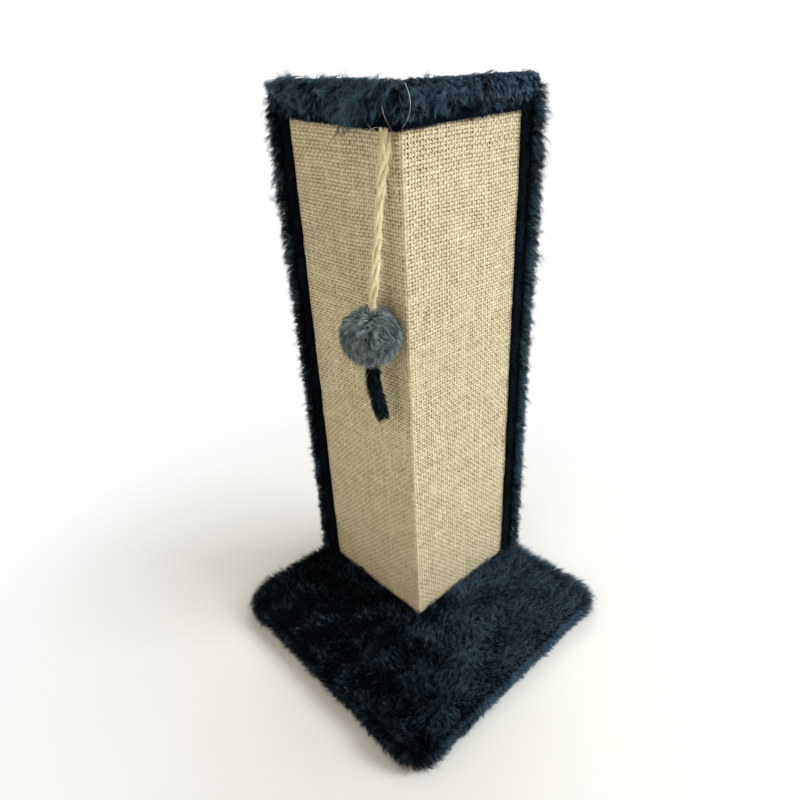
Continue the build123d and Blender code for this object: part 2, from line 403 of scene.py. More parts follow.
def piece(name: str, points: np.ndarray, faces: list[np.ndarray], material: bpy.types.Material,
          maps: list[np.ndarray] | None = None) -> bpy.types.Object:
    """Makes a smooth mesh object.

    Args:
        name: The piece's name.
        points: Its points in millimetres.
        faces: Point numbers, one array for each number of corners.
        material: Its material.
        maps: Places on the bake map, in the same order as the faces.

    Returns:
        The object.
    """
    mesh = bpy.data.meshes.new(name)
    mesh.vertices.add(len(points))
    mesh.vertices.foreach_set("co", (points * MM).astype(np.float32).ravel())
    corners = np.concatenate([group.ravel() for group in faces]).astype(np.int32)
    sizes = np.concatenate([np.full(len(group), group.shape[1]) for group in faces])
    mesh.loops.add(len(corners))
    mesh.loops.foreach_set("vertex_index", corners)
    mesh.polygons.add(len(sizes))
    starts = np.concatenate([[0], np.cumsum(sizes)[:-1]]).astype(np.int32)
    mesh.polygons.foreach_set("loop_start", starts)
    mesh.polygons.foreach_set("use_smooth", np.ones(len(sizes), bool))
    if maps is not None:
        flat = np.concatenate([group.reshape(-1, 2) for group in maps])
        layer = mesh.uv_layers.new(name=BAKE_MAP)
        layer.data.foreach_set("uv", flat.astype(np.float32).ravel())
    mesh.update(calc_edges=True)
    mesh.materials.append(material)
    made = bpy.data.objects.new(name, mesh)
    bpy.context.scene.collection.objects.link(made)
    triangles = int((sizes - 2).sum())
    log.info("%s: %d triangles", name, triangles)
    return made


def ribbons(name: str, lines: np.ndarray, width: float, tone: np.ndarray, seed: int,
            material: bpy.types.Material) -> bpy.types.Object:
    """Makes flat tapered fibres.

    Args:
        name: The piece's name.
        lines: The fibres' points, fibre by fibre.
        width: The widest place of a fibre.
        tone: Each fibre's tone from 0 to 1.
        seed: The seed of the fibres' roll.
        material: Their material.

    Returns:
        The object.
    """
    rng = np.random.default_rng(seed)
    count, levels = lines.shape[0], lines.shape[1] - 1
    side = unit(np.cross(lines[:, -1] - lines[:, 0], rng.normal(size=(count, 3))))
    share = np.arange(levels) / levels
    half = 0.5 * width * (1 - 0.75 * share ** 1.5) * np.where(share > 0, 1.0, 0.85)
    offset = side[:, None] * half[None, :, None]
    body = np.stack([lines[:, :-1] - offset, lines[:, :-1] + offset], 2).reshape(count, -1, 3)
    points = np.concatenate([body, lines[:, -1:]], 1)
    first = (np.arange(count) * points.shape[1])[:, None, None]
    rows = 2 * np.arange(levels - 1)[:, None]
    quads = (first + (rows + np.array([0, 1, 3, 2]))[None]).reshape(-1, 4)
    tips = (first[:, 0] + 2 * (levels - 1) + np.array([0, 1, 2]))
    tone = np.clip(tone, 0.02, 0.98)
    left, right = tone - 0.006, tone + 0.006
    quad_map = np.empty((count, levels - 1, 4, 2))
    for corner, (edge, step) in enumerate(((left, 0), (right, 0), (right, 1), (left, 1))):
        quad_map[:, :, corner, 0] = edge[:, None]
        quad_map[:, :, corner, 1] = (np.arange(levels - 1) + step) / levels
    tip_map = np.empty((count, 3, 2))
    tip_map[:, :, 0] = np.stack([left, right, tone], 1)
    tip_map[:, :, 1] = np.array([levels - 1, levels - 1, levels]) / levels
    return piece(name, points.reshape(-1, 3), [quads, tips], material,
                 [quad_map.reshape(-1, 4, 2), tip_map])


@dataclass(frozen=True)
class Strings:
    """Round, flattened or three-lobed tubes that run side by side, given by their centre lines."""

    centres: np.ndarray
    across: np.ndarray
    out: np.ndarray
    half_across: np.ndarray
    half_out: np.ndarray
    sides: int = 6
    twist: np.ndarray | None = None
    groove: float = 0.0

    def build(self, name: str, material: bpy.types.Material, first: np.ndarray, span: float,
              along: np.ndarray) -> bpy.types.Object:
        """Makes the tubes, closed at both ends.

        Args:
            name: The piece's name.
            material: Its material.
            first: Where each ring starts across the bake map.
            span: How much of the map a ring covers.
            along: Where each ring lies along the bake map.

        Returns:
            The object.
        """
        count, rings = self.centres.shape[:2]
        turn = TURN * (np.arange(self.sides) + 0.5) / self.sides
        lobes = np.ones((1, 1, 1, 1))
        if self.twist is not None:
            lobes = 1 - self.groove * (1 - np.abs(np.cos(1.5 * (turn - self.twist[..., None]))))[..., None]
        points = (self.centres[:, :, None]
                  + (self.across * self.half_across[..., None])[:, :, None] * lobes * np.cos(turn)[:, None]
                  + (self.out * self.half_out[..., None])[:, :, None] * lobes * np.sin(turn)[:, None])
        number = np.arange(count * rings * self.sides).reshape(count, rings, self.sides)
        after = np.roll(number, -1, 2)
        quads = np.stack([number[:, :-1], after[:, :-1], after[:, 1:], number[:, 1:]], -1).reshape(-1, 4)
        ends = np.concatenate([number[:, 0, ::-1], number[:, -1]])
        around = span * np.arange(self.sides + 1) / self.sides
        across = first[..., None] + around
        up = np.broadcast_to(along[..., None], across.shape)
        grid = np.stack([across, up], -1)
        quad_map = np.stack([grid[:, :-1, :-1], grid[:, :-1, 1:], grid[:, 1:, 1:], grid[:, 1:, :-1]], 3)
        end_map = np.concatenate([grid[:, 0, :-1], grid[:, -1, :-1]])
        return piece(name, points.reshape(-1, 3), [quads, ends], material,
                     [quad_map.reshape(-1, 4, 2), end_map])


def fields(number: np.ndarray) -> np.ndarray:
    """The four corners of each field of a grid of point numbers."""
    return np.stack([number[:-1, :-1], number[:-1, 1:], number[1:, 1:], number[1:, :-1]], -1)


def used_only(points: np.ndarray, quads: np.ndarray) -> tuple[np.ndarray, np.ndarray]:
    """Points that some face uses, and the faces with those points' new numbers."""
    used = np.unique(quads)
    lookup = np.zeros(len(points), int)
    lookup[used] = np.arange(len(used))
    return points[used], lookup[quads]


def grid_piece(name: str, points: np.ndarray, material: bpy.types.Material,
               keep: np.ndarray | None = None, round_: bool = False) -> bpy.types.Object:
    """Makes a surface from a grid of points.

    Args:
        name: The piece's name.
        points: Rows and columns of points.
        material: Its material.
        keep: Which of the grid's fields to keep.
        round_: Whether the last column joins the first.

    Returns:
        The object.
    """
    rows, columns = points.shape[:2]
    number = np.arange(rows * columns).reshape(rows, columns)
    if round_:
        number = np.concatenate([number, number[:, :1]], 1)
    quads = fields(number)
    quads = quads[keep] if keep is not None else quads.reshape(-1, 4)
    points, quads = used_only(points.reshape(-1, 3), quads)
    return piece(name, points, [quads], material)


def route_points(route: tuple, spacing: float) -> np.ndarray:
    """Even points in millimetres along the smooth line of a route in metres.

    Args:
        route: The route's points, the control points of its spline.
        spacing: The distance between the points that are wanted.

    Returns:
        The points.
    """
    curve = bpy.data.curves.new("route", "CURVE")
    curve.dimensions = "3D"
    spline = curve.splines.new("NURBS")
    spline.points.add(len(route) - 1)
    for point, place in zip(spline.points, route):
        point.co = (*place, 1.0)
    spline.order_u = 3
    spline.use_endpoint_u = True
    spline.resolution_u = 24
    holder = bpy.data.objects.new("route", curve)
    bpy.context.scene.collection.objects.link(holder)
    bpy.context.view_layer.update()
    mesh = bpy.data.meshes.new_from_object(holder)
    line = np.array([vertex.co for vertex in mesh.vertices]) / MM
    bpy.data.objects.remove(holder)
    bpy.data.curves.remove(curve)
    bpy.data.meshes.remove(mesh)
    run = np.concatenate([[0], np.cumsum(np.linalg.norm(np.diff(line, axis=0), axis=1))])
    wanted = np.linspace(0, run[-1], max(4, int(run[-1] / spacing)) + 1)
    return np.stack([np.interp(wanted, run, line[:, axis]) for axis in range(3)], 1)


def along_and_across(line: np.ndarray) -> tuple[np.ndarray, np.ndarray, np.ndarray]:
    """Directions along a line and two across it.

    Args:
        line: The line's points.

    Returns:
        Unit vectors along the line, and two across it that don't twist.
    """
    forward = unit(np.gradient(line, axis=0))
    first = np.empty_like(forward)
    start = np.array([1.0, 0.0, 0.0])
    for i, way in enumerate(forward):
        start = start - way * (start @ way)
        start = start / np.linalg.norm(start)
        first[i] = start
    return forward, first, np.cross(forward, first)


# Pile


@dataclass(frozen=True)
class Pile:
    """How a plush's strands grow."""

    length: float
    width: float
    lean: float
    droop: float
    curl: float
    clump: int
    gather: float
    messy: float
    stray: float
    levels: int
    # light: the base tone; with the plush finishes, how much of their painted highlight the strands carry.
    light: float
    patch: float
    fleck: float = 0.12
    lock: float = 0.08
    # nap: painted sheen; strands that lean towards the right front, where the key lamp stands, are made
    # lighter.
    nap: float = 0.0
    tufts: float = 0.0

    def lines(self, rng: np.random.Generator, roots: np.ndarray, normals: np.ndarray,
              comb: np.ndarray, stretch: np.ndarray | float, shade: np.ndarray | float,
              ) -> tuple[np.ndarray, np.ndarray]:
        """Grows strands.

        Args:
            rng: The random source.
            roots: Where they start.
            normals: The surface's direction there.
            comb: The way they are brushed.
            stretch: How much longer or shorter than usual they are.
            shade: Painted light and shade, how much lighter or darker than usual they are.

        Returns:
            The strands' points and their tones.
        """
        count = len(roots)
        leaders = rng.choice(count, max(1, count // self.clump), replace=False)
        tree = kdtree.KDTree(len(leaders))
        for number, leader in enumerate(leaders):
            tree.insert(roots[leader], number)
        tree.balance()
        clump = np.array([tree.find(root)[1] for root in roots])
        swirl = rng.normal(size=(len(leaders), 3))[clump]
        way = comb + self.messy * swirl + self.stray * rng.normal(size=(count, 3))
        way = unit(way - normals * (way * normals).sum(-1, keepdims=True))
        across = np.cross(normals, way)
        phase = rng.uniform(0, TURN, len(leaders))[clump] + rng.normal(0, 0.4, count)
        length = self.length * rng.uniform(0.7, 1.15, len(leaders))[clump] * rng.uniform(0.7, 1.08, count)
        tufts = rng.uniform(size=len(leaders)) < self.tufts
        length = length * stretch * np.where(tufts, 1.45, 1.0)[clump]
        line = np.empty((count, self.levels + 1, 3))
        line[:, 0] = roots
        for step in range(self.levels):
            share = (step + 0.5) / self.levels
            lean = self.lean * (0.4 + 0.8 * share)
            swing = self.curl * np.sin(phase + 4.4 * share)
            way_now = normals * (1 - lean) + way * lean + across * swing[:, None]
            way_now[:, 2] -= self.droop * share
            line[:, step + 1] = line[:, step] + unit(way_now) * (length / self.levels)[:, None]
        pull = self.gather * (np.arange(self.levels + 1) / self.levels) ** 1.3
        line += pull[None, :, None] * (line[leaders][clump] - line)
        # The tone adds to the base level the caller's painted light and shade, a painted sheen for strands
        # that lean towards the right front (nap), and random patches, clumps and single strands.
        tone = (self.light + shade + self.patch * Drift(int(rng.integers(1e6)), 30.0)(roots)
                + self.nap * (way @ np.array([0.7, -0.7, 0.1]))
                + self.lock * rng.normal(size=len(leaders))[clump] + self.fleck * rng.normal(size=count))
        return line, tone

    def grow(self, name: str, seed: int, roots: np.ndarray, normals: np.ndarray, comb: np.ndarray,
             material: bpy.types.Material, side: Side = Side.LEFT, clear: Clear | None = None,
             stretch: np.ndarray | float = 1.0, shade: np.ndarray | float = 0.0) -> bpy.types.Object:
        """Grows strands as a piece.

        Args:
            name: The piece's name.
            seed: The random seed.
            roots: Where the strands start.
            normals: The surface's direction there.
            comb: The way they are brushed.
            material: Their material.
            side: The upright that they belong to.
            clear: A function that moves points out of neighbours.
            stretch: How much longer or shorter than usual the strands are.
            shade: Painted light and shade, how much lighter or darker than usual the strands are.

        Returns:
            The object.
        """
        rng = np.random.default_rng(seed)
        lines, tone = self.lines(rng, roots, normals, comb, stretch, shade)
        if clear is not None:
            clear(lines)
        lines[..., :2] = np.clip(lines[..., :2], -FAR_PILE, FAR_PILE)
        return ribbons(name, side.place(lines), self.width, tone, seed + 1, material)


BALL_PILE = Pile(length=14.8, width=0.28, lean=0.6, droop=0.2, curl=0.3, clump=16, gather=0.45,
                 messy=0.4, stray=0.35, levels=3, light=0.27, patch=0.1, fleck=0.32, lock=0.24)
TAIL_PILE = Pile(length=9.6, width=0.34, lean=0.68, droop=0.2, curl=0.25, clump=12, gather=0.45,
                 messy=0.35, stray=0.25, levels=3, light=0.02, patch=0.04, fleck=0.08)
BASE_PILE = Pile(length=10.5, width=0.28, lean=0.5, droop=0.1, curl=0.3, clump=10, gather=0.5,
                 messy=0.5, stray=0.45, levels=2, light=0.02, patch=0.15, fleck=0.24, lock=0.24,
                 nap=0.1, tufts=0.05)
# The top border's high light gives it the most painted highlight, as the lamps light it from above.
TOP_PILE = Pile(length=15.5, width=0.28, lean=0.64, droop=0.4, curl=1.1, clump=22, gather=0.6,
                messy=0.9, stray=0.55, levels=4, light=0.56, patch=0.1, fleck=0.26, lock=0.34,
                nap=0.0, tufts=0.06)
SIDE_PILE = Pile(length=13.0, width=0.3, lean=0.5, droop=0.2, curl=0.4, clump=14, gather=0.5,
                 messy=0.5, stray=0.35, levels=3, light=0.06, patch=0.1, fleck=0.14, lock=0.16,
                 nap=0.0, tufts=0.05)
BACK_PILE = Pile(length=11.0, width=0.6, lean=0.78, droop=0.15, curl=0.2, clump=16, gather=0.45,
                 messy=0.5, stray=0.3, levels=2, light=0.26, patch=0.12, fleck=0.14, lock=0.12,
                 nap=0.1)
HEM_PILE = Pile(length=3.4, width=0.32, lean=0.72, droop=0.1, curl=0.2, clump=10, gather=0.4,
                messy=0.4, stray=0.3, levels=2, light=0.03, patch=0.12)


class Workshop:
    """Materials that several assemblies share."""

    def __init__(self) -> None:
        self.plush = PLUSH.material()
        self.nap = NAP.material()
        self.backing = BACKING.material()
        self.hem = HEM_CLOTH.material()
        self.yarn = YARN.material()
        self.straw = STRAW.material()
        self.rope = ROPE.material()
        self.steel = SteelFinish().material()
        self.board = BoardFinish().material()


# Studio


@dataclass(frozen=True)
class Studio:
    """The camera of the photograph, the floor and the lamps."""

    eye: tuple = (-0.3875, -0.4169, 0.6124)
    yaw: float = -3.341
    pitch: float = 28.841
    roll: float = -2.738
    lens: float = 28.17
    ambient: float = 0.42
    key: float = 38.0
    fill: float = 9.0
    rim: float = 14.0
    warm: Colour = (1.0, 0.92, 0.77)
    cool: Colour = (0.93, 0.98, 1.0)

    def build(self) -> None:
        """Makes all of it."""
        self._camera()
        self._world()
        self._floor()
        self._lamp("key", (1.15, -1.5, 1.35), 0.9, self.key, self.cool)
        self._lamp("fill", (-1.9, -0.3, 1.1), 1.4, self.fill, self.warm)
        self._lamp("rim", (1.5, 1.2, 1.7), 1.0, self.rim, self.cool)
        bpy.context.scene.view_settings.view_transform = "Standard"

    def _camera(self) -> None:
        """Camera turned by yaw, pitch and roll from the corner's diagonal."""
        yaw, pitch, roll = (math.radians(angle) for angle in (self.yaw, self.pitch, self.roll))
        half = math.sqrt(0.5)
        sideways, ahead, up = Vector((half, -half, 0)), Vector((half, half, 0)), Vector((0, 0, 1))
        look = (sideways * math.sin(yaw) + ahead * math.cos(yaw)) * math.cos(pitch) - up * math.sin(pitch)
        right = sideways * math.cos(yaw) - ahead * math.sin(yaw)
        top = right.cross(look)
        rolled_right = right * math.cos(roll) + top * math.sin(roll)
        rolled_top = top * math.cos(roll) - right * math.sin(roll)
        data = bpy.data.cameras.new("camera")
        data.lens = self.lens
        data.clip_start = 0.02
        camera = bpy.data.objects.new("camera", data)
        turned = Matrix((rolled_right, rolled_top, -look)).transposed().to_4x4()
        camera.matrix_world = Matrix.Translation(self.eye) @ turned
        bpy.context.scene.collection.objects.link(camera)
        bpy.context.scene.camera = camera

    def _seen(self, shop: Shop) -> Tone:
        """1 where the camera, a gloss or clear matter looks at the surroundings."""
        light = shop.node("ShaderNodeLightPath")
        sockets = light.socket.node.outputs
        seen = Tone(shop, sockets["Is Camera Ray"]).largest(Tone(shop, sockets["Is Glossy Ray"]))
        return seen.largest(Tone(shop, sockets["Is Transmission Ray"]))

    def _world(self) -> None:
        """White where it is seen, plain soft light elsewhere."""
        world = bpy.data.worlds.new("studio")
        world.use_nodes = True
        bpy.context.scene.world = world
        shop = Shop(world.node_tree)
        seen = self._seen(shop)
        strength = seen * (1 - self.ambient) + self.ambient
        colour = shop.mix(seen, self.warm, (1.0, 1.0, 1.0))
        light = shop.node("ShaderNodeBackground", None, {"Color": colour, "Strength": strength})
        output = shop.tree.nodes.new("ShaderNodeOutputWorld")
        shop.tree.links.new(light.socket, output.inputs["Surface"])

    def _floor(self) -> None:
        """Pale floor that turns white away from the object where the camera sees it."""
        material = bpy.data.materials.new("floor")
        material.use_nodes = True
        shop = Shop(material.node_tree)
        near = shop.node("ShaderNodeBsdfPrincipled", None,
                         {"Base Color": (0.96, 0.96, 0.96), "Roughness": 0.8, "Specular IOR Level": 0.1})
        far = shop.node("ShaderNodeEmission", None, {"Color": (1.0, 1.0, 1.0), "Strength": 1.0})
        where = shop.place((1.0, 1.0, 0.0))
        distance = shop.node("ShaderNodeVectorMath", {"operation": "LENGTH"}, {0: where}, "Value")
        camera_ray = shop.node("ShaderNodeLightPath", None, None, "Is Camera Ray")
        factor = camera_ray * shop.ramp(distance, 0.2, 0.6)
        mixed = shop.node("ShaderNodeMixShader", None, {0: factor, 1: near, 2: far})
        output = shop.tree.nodes.new("ShaderNodeOutputMaterial")
        shop.tree.links.new(mixed.socket, output.inputs["Surface"])
        ground = 8000 * np.array([(-1, -1, 0), (1, -1, 0), (1, 1, 0), (-1, 1, 0)], float)
        ground[:, 2] = -0.2
        floor = piece("floor", ground, [np.array([[0, 1, 2, 3]])], material)

    def _lamp(self, name: str, place: tuple, size: float, power: float, colour: Colour) -> None:
        """A square soft lamp that looks at the object's middle.

        Args:
            name: Its name.
            place: Where it stands, in metres.
            size: Its side, in metres.
            power: Its power, in watts.
            colour: Its colour.
        """
        data = bpy.data.lights.new(name, "AREA")
        data.size = size
        data.energy = power
        data.color = colour
        lamp = bpy.data.objects.new(name, data)
        lamp.location = place
        lamp.rotation_euler = (Vector((0, 0, 0.25)) - Vector(place)).to_track_quat("-Z", "Y").to_euler()
        bpy.context.scene.collection.objects.link(lamp)


# Rope toy


@dataclass
class RopeToy:
    """Three-strand rope with an opened top, the fur ball on its end and the ball's tail."""

    shop: Workshop
    route: tuple = ((-0.0268, -0.0095, 0.5577), (-0.0276, -0.0089, 0.5415), (-0.035, -0.0072, 0.508),
                    (-0.042, -0.0054, 0.452), (-0.0464, -0.003, 0.4187))
    tail_route: tuple = ((-0.0508, -0.0015, 0.3563), (-0.0502, -0.0013, 0.336),
                         (-0.0466, -0.0014, 0.315), (-0.042, -0.002, 0.298))
    diameter: float = 8.0
    strand: float = 2.05
    lay: float = 62.0
    yarn_lay: float = 26.0
    opened: float = 32.0
    ball_centre: tuple = (-50.8, -1.5, 387.8)
    ball_skin: float = 19.5
    tail_core: float = 2.6
    sisal_face: float = -22.5

    def build(self) -> None:
        """Makes the toy from the top down."""
        line = route_points(self.route, 1.2)
        above = line[0] + (line[0] - line[1]) * np.array([[3.6], [2.4], [1.2]])
        rope = self._rope(np.concatenate([above, line]))
        fray = self._fray(line)
        fibres = self._fibres(line)
        neck = self._neck(line)
        ball_parts = self._ball()
        tail_parts = self._tail()
        self._hairs()
        for part in (rope, fray, fibres):
            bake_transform(part)
        for part in (neck, *ball_parts):
            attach(part, "fur_ball")
        for part in tail_parts:
            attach(part, "tail")
        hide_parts("toy_rope_top", "toy_rope")

    def _rope(self, line: np.ndarray) -> bpy.types.Object:
        """The three laid strands, which stand apart at the opened top."""
        run = np.linspace(0, 1, len(line)) * np.linalg.norm(np.diff(line, axis=0), axis=1).sum()
        open_now = np.clip(1 - run / self.opened, 0, 1) ** 0.7
        rope = self._laid("toy_rope_laid", line, run, open_now)
        return rope

    def _laid(self, name: str, line: np.ndarray, run: np.ndarray, open_now: np.ndarray) -> bpy.types.Object:
        """Three strands round a line, each with the grooves of its three yarns.

        Args:
            name: The piece's name.
            line: The rope's middle line.
            run: The way along the rope at each point.
            open_now: How far the strands stand apart there, from 0 to 1.

        Returns:
            The object.
        """
        _, first, second = along_and_across(line)
        drift = Drift(31, 30.0)
        centres = []
        for number in range(3):
            turn = TURN * (number / 3 + run / (self.lay * (1 + 0.5 * open_now)))
            reach = 2.25 + 1.1 * open_now * (1 + 0.35 * np.sin(3.1 * number + run / 6))
            reach = reach + 0.2 * drift(line + 50 * number)
            centres.append(line + reach[:, None] * (first * np.cos(turn)[:, None]
                                                    + second * np.sin(turn)[:, None]))
        centres = np.array(centres)
        ways = [along_and_across(strand) for strand in centres]
        thick = self.strand * (1 + 0.08 * np.array([drift(strand * 2) for strand in centres]))
        twist = np.repeat(-TURN * run[None] / self.yarn_lay, 3, 0)
        strings = Strings(centres, np.array([way[1] for way in ways]), np.array([way[2] for way in ways]),
                          thick, thick, 20, twist, 0.28)
        start = np.repeat(np.arange(3)[:, None] / 3, len(line), 1)
        along = np.repeat(run[None] / 150, 3, 0)
        return strings.build(name, self.shop.rope, start, 0.32, along)

    def _fray(self, line: np.ndarray) -> bpy.types.Object:
        """Yarns that have come out of the rope's top and hang beside it, some in loops."""
        rng = np.random.default_rng(11)
        count, levels = 54, 9
        _, first, second = along_and_across(line)
        share = np.arange(levels + 1) / levels
        reach = rng.uniform(14, 40, count)
        start = rng.uniform(-2, 4, count)
        run = np.clip((start[:, None] + reach[:, None] * share) / 1.2, 0, len(line) - 1)
        base = np.stack([np.interp(run, np.arange(len(line)), line[:, axis]) for axis in range(3)], -1)
        base[:, :, 2] += np.clip(-start, 0, None)[:, None] * (1 - share)
        turn = rng.uniform(0, TURN, count)[:, None] + share * rng.normal(0, 1.2, (count, 1))
        spread = rng.uniform(3.2, 4.8, (count, 1)) + rng.uniform(0.5, 6.5, (count, 1)) * np.sin(
            math.pi * share * rng.uniform(0.5, 1.0, (count, 1)))
        loops = (rng.uniform(size=count) < 0.1)[:, None]
        offset = first[8] * np.cos(turn)[..., None] + second[8] * np.sin(turn)[..., None]
        lines = base + offset * spread[..., None]
        lines[:, :, 2] += np.where(loops, 5 * np.sin(TURN * share) * (share > 0.3), 0)
        lines[:, :, 0] = np.minimum(lines[:, :, 0], self.sisal_face - 0.6)
        fray = ribbons("toy_rope_fray", lines, 0.5, rng.uniform(0.2, 1.0, count), 12, self.shop.straw)
        return fray

    def _fibres(self, line: np.ndarray) -> bpy.types.Object:
        """Fine loose hairs along the rope."""
        rng = np.random.default_rng(14)
        count, levels = 420, 6
        _, first, second = along_and_across(line)
        place = rng.integers(2, len(line) - 2, count)
        turn = rng.uniform(0, TURN, count)
        outward = first[place] * np.cos(turn)[:, None] + second[place] * np.sin(turn)[:, None]
        way = np.array([0, 0, -1.0]) * rng.choice([-0.4, 1.0], count, p=[0.2, 0.8])[:, None]
        way = unit(way + 0.35 * rng.normal(size=(count, 3)))
        length = rng.uniform(5, 17, count)
        share = (np.arange(levels + 1) / levels)[None, :, None]
        lift = rng.choice([1.5, 3.0, 7.0], count, p=[0.55, 0.33, 0.12])[:, None, None] * np.sin(2.4 * share)
        lines = (line[place][:, None] + outward[:, None] * (3.6 + lift)
                 + way[:, None] * share * length[:, None, None])
        lines[:, :, 0] = np.minimum(lines[:, :, 0], self.sisal_face - 0.4)
        fibres = ribbons("toy_rope_fibres", lines, 0.28, rng.uniform(0.3, 1.0, count), 15, self.shop.straw)
        return fibres

    def _hairs(self) -> bpy.types.Object:
        """Long pale rope fibres that lie in the border's pile above the exit."""
        guides = (
            ((-35.0, -16.0, 578.0), (-36.0, -18.5, 572.0), (-35.5, -21.5, 567.0),
             (-33.0, -23.5, 562.0), (-29.5, -21.0, 556.5)),
            ((-30.5, -38.0, 594.5), (-33.0, -46.0, 586.0), (-33.5, -47.0, 577.0),
             (-33.5, -42.0, 567.5), (-31.0, -33.0, 562.0)),
            ((-28.0, -11.0, 561.0), (-34.0, -6.0, 563.5), (-37.0, 1.0, 560.5),
             (-35.5, 5.0, 553.0), (-33.0, 7.0, 545.0)),
            ((-29.0, -9.0, 557.0), (-36.0, -17.0, 562.0), (-37.0, -21.0, 558.0),
             (-34.0, -22.0, 550.0), (-31.0, -18.0, 544.0)))
        share = np.linspace(0, 1, 14)
        lines = []
        for guide in guides:
            spots = np.array(guide)
            bends = np.stack([np.interp(share, np.linspace(0, 1, 5), spots[:, axis])
                              for axis in range(3)], 1)
            for _ in range(4):
                bends[1:-1] = (bends[:-2] + 2 * bends[1:-1] + bends[2:]) / 4
            lines.append(bends)
        tones = np.array([0.7, 0.98, 0.85, 0.85])
        hairs = ribbons("straw_hairs", np.array(lines), 0.28, tones, 17, PALE.material())
        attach(hairs, "root")
        return hairs

    def _neck(self, line: np.ndarray) -> bpy.types.Object:
        """The rope's last stretch, which goes into the ball's fur."""
        top = line[-1]
        goal = np.array(self.ball_centre) + (top - np.array(self.ball_centre)) * 0.5
        stub = top + (goal - top) * np.linspace(0, 1, 12)[:, None]
        run = np.linspace(0, np.linalg.norm(goal - top), 12)
        neck = self._laid("toy_rope_neck", stub, run, np.zeros(12))
        return neck

    def _press(self, lines: np.ndarray) -> None:
        """Keeps fur in front of the sisal."""
        lines[..., 0] = np.minimum(lines[..., 0], self.sisal_face - 0.5)

    def _ball(self) -> list[bpy.types.Object]:
        """Skin, fur, filling and knot of the ball."""
        centre = np.array(self.ball_centre)
        skin = self._lumpy_ball("fur_ball_backing", centre, self.ball_skin, 0.35, 7, BALL_SKIN.material())
        filling = self._lumpy_ball("ball_batting", centre, 17.2, 0.5, 9, BATTING.material())
        rng = np.random.default_rng(21)
        count = 30000
        normals = unit(rng.normal(size=(count, 3)))
        roots = centre + normals * self.ball_skin
        swirl = np.cross(normals, np.array([0.3, 0.2, 1.0]))
        comb = np.array([0, 0, -0.9]) + 0.35 * swirl + 0.5 * np.stack(
            [Drift(seed, 16.0)(roots) for seed in (22, 23, 24)], -1)
        # shade is painted light: the fur is lighter on the ball's upper half and darker on its lower half.
        fur = BALL_PILE.grow("fur_ball_pile", 25, roots, normals, comb, BALL_FUR.material(),
                             clear=self._press, shade=0.14 * normals[:, 2])
        knot = self._knot(centre)
        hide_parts("fur_ball_skin")
        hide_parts("fur_ball_filling")
        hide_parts("rope_knot")
        return [skin, fur, filling, knot]

    def _lumpy_ball(self, name: str, centre: np.ndarray, radius: float, lump: float, seed: int,
                    material: bpy.types.Material) -> bpy.types.Object:
        """A slightly uneven ball.

        Args:
            name: The piece's name.
            centre: Its centre.
            radius: Its radius.
            lump: How far it swells and sinks.
            seed: The seed of its lumps.
            material: Its material.

        Returns:
            The object.
        """
        rows, columns = 29, 44
        up = np.linspace(0.001, math.pi - 0.001, rows)[:, None]
        round_ = TURN * np.arange(columns)[None] / columns
        way = np.stack([np.sin(up) * np.cos(round_), np.sin(up) * np.sin(round_),
                        np.broadcast_to(np.cos(up), (rows, columns))], -1)
        reach = radius + lump * Drift(seed, 18.0)(way * radius)
        return grid_piece(name, centre + way * reach[..., None], material, round_=True)

    def _knot(self, centre: np.ndarray) -> bpy.types.Object:
        """The rope's end knot inside the ball."""
        turn = np.linspace(0, TURN, 73)
        line = np.stack([np.sin(turn) + 2 * np.sin(2 * turn), np.cos(turn) - 2 * np.cos(2 * turn),
                         -np.sin(3 * turn)], 1) * np.array([1.35, 1.35, 1.7])
        line = centre + line
        _, first, second = along_and_across(line)
        thick = np.full((1, len(line)), 2.0)
        strings = Strings(line[None], first[None], second[None], thick, thick, 10)
        return strings.build("toy_rope_end_knot", self.shop.rope, np.zeros((1, len(line))), 0.3,
                             np.linspace(0, 0.9, len(line))[None])

    def _tail(self) -> list[bpy.types.Object]:
        """The plush tail under the ball."""
        line = route_points(self.tail_route, 1.5)
        lead = line[0] + (np.array(self.ball_centre) - line[0]) * np.array([[0.32], [0.2], [0.1]])
        line = np.concatenate([lead, line])
        forward, first, second = along_and_across(line)
        reach = self.tail_core * np.minimum(1, np.sqrt(np.linspace(1, 0, len(line)) * 8 + 0.02))
        turn = TURN * np.arange(12) / 12
        around = first[:, None] * np.cos(turn)[:, None] + second[:, None] * np.sin(turn)[:, None]
        core = grid_piece("toy_tail_core", line[:, None] + around * reach[:, None, None],
                          self.shop.backing, round_=True)
        rng = np.random.default_rng(41)
        count = 6000
        place = rng.integers(0, len(line) - 1, count)
        angle = rng.uniform(0, TURN, count)
        normals = first[place] * np.cos(angle)[:, None] + second[place] * np.sin(angle)[:, None]
        roots = line[place] + forward[place] * rng.uniform(0, 1.5, (count, 1))
        roots = roots + normals * reach[place][:, None]
        comb = forward[place] + 0.3 * np.cross(forward[place], normals)
        fur = TAIL_PILE.grow("toy_tail_pile", 42, roots, normals, comb, self.shop.plush,
                             clear=self._press)
        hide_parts("toy_tail")
        return [core, fur]


# Sisal cloth


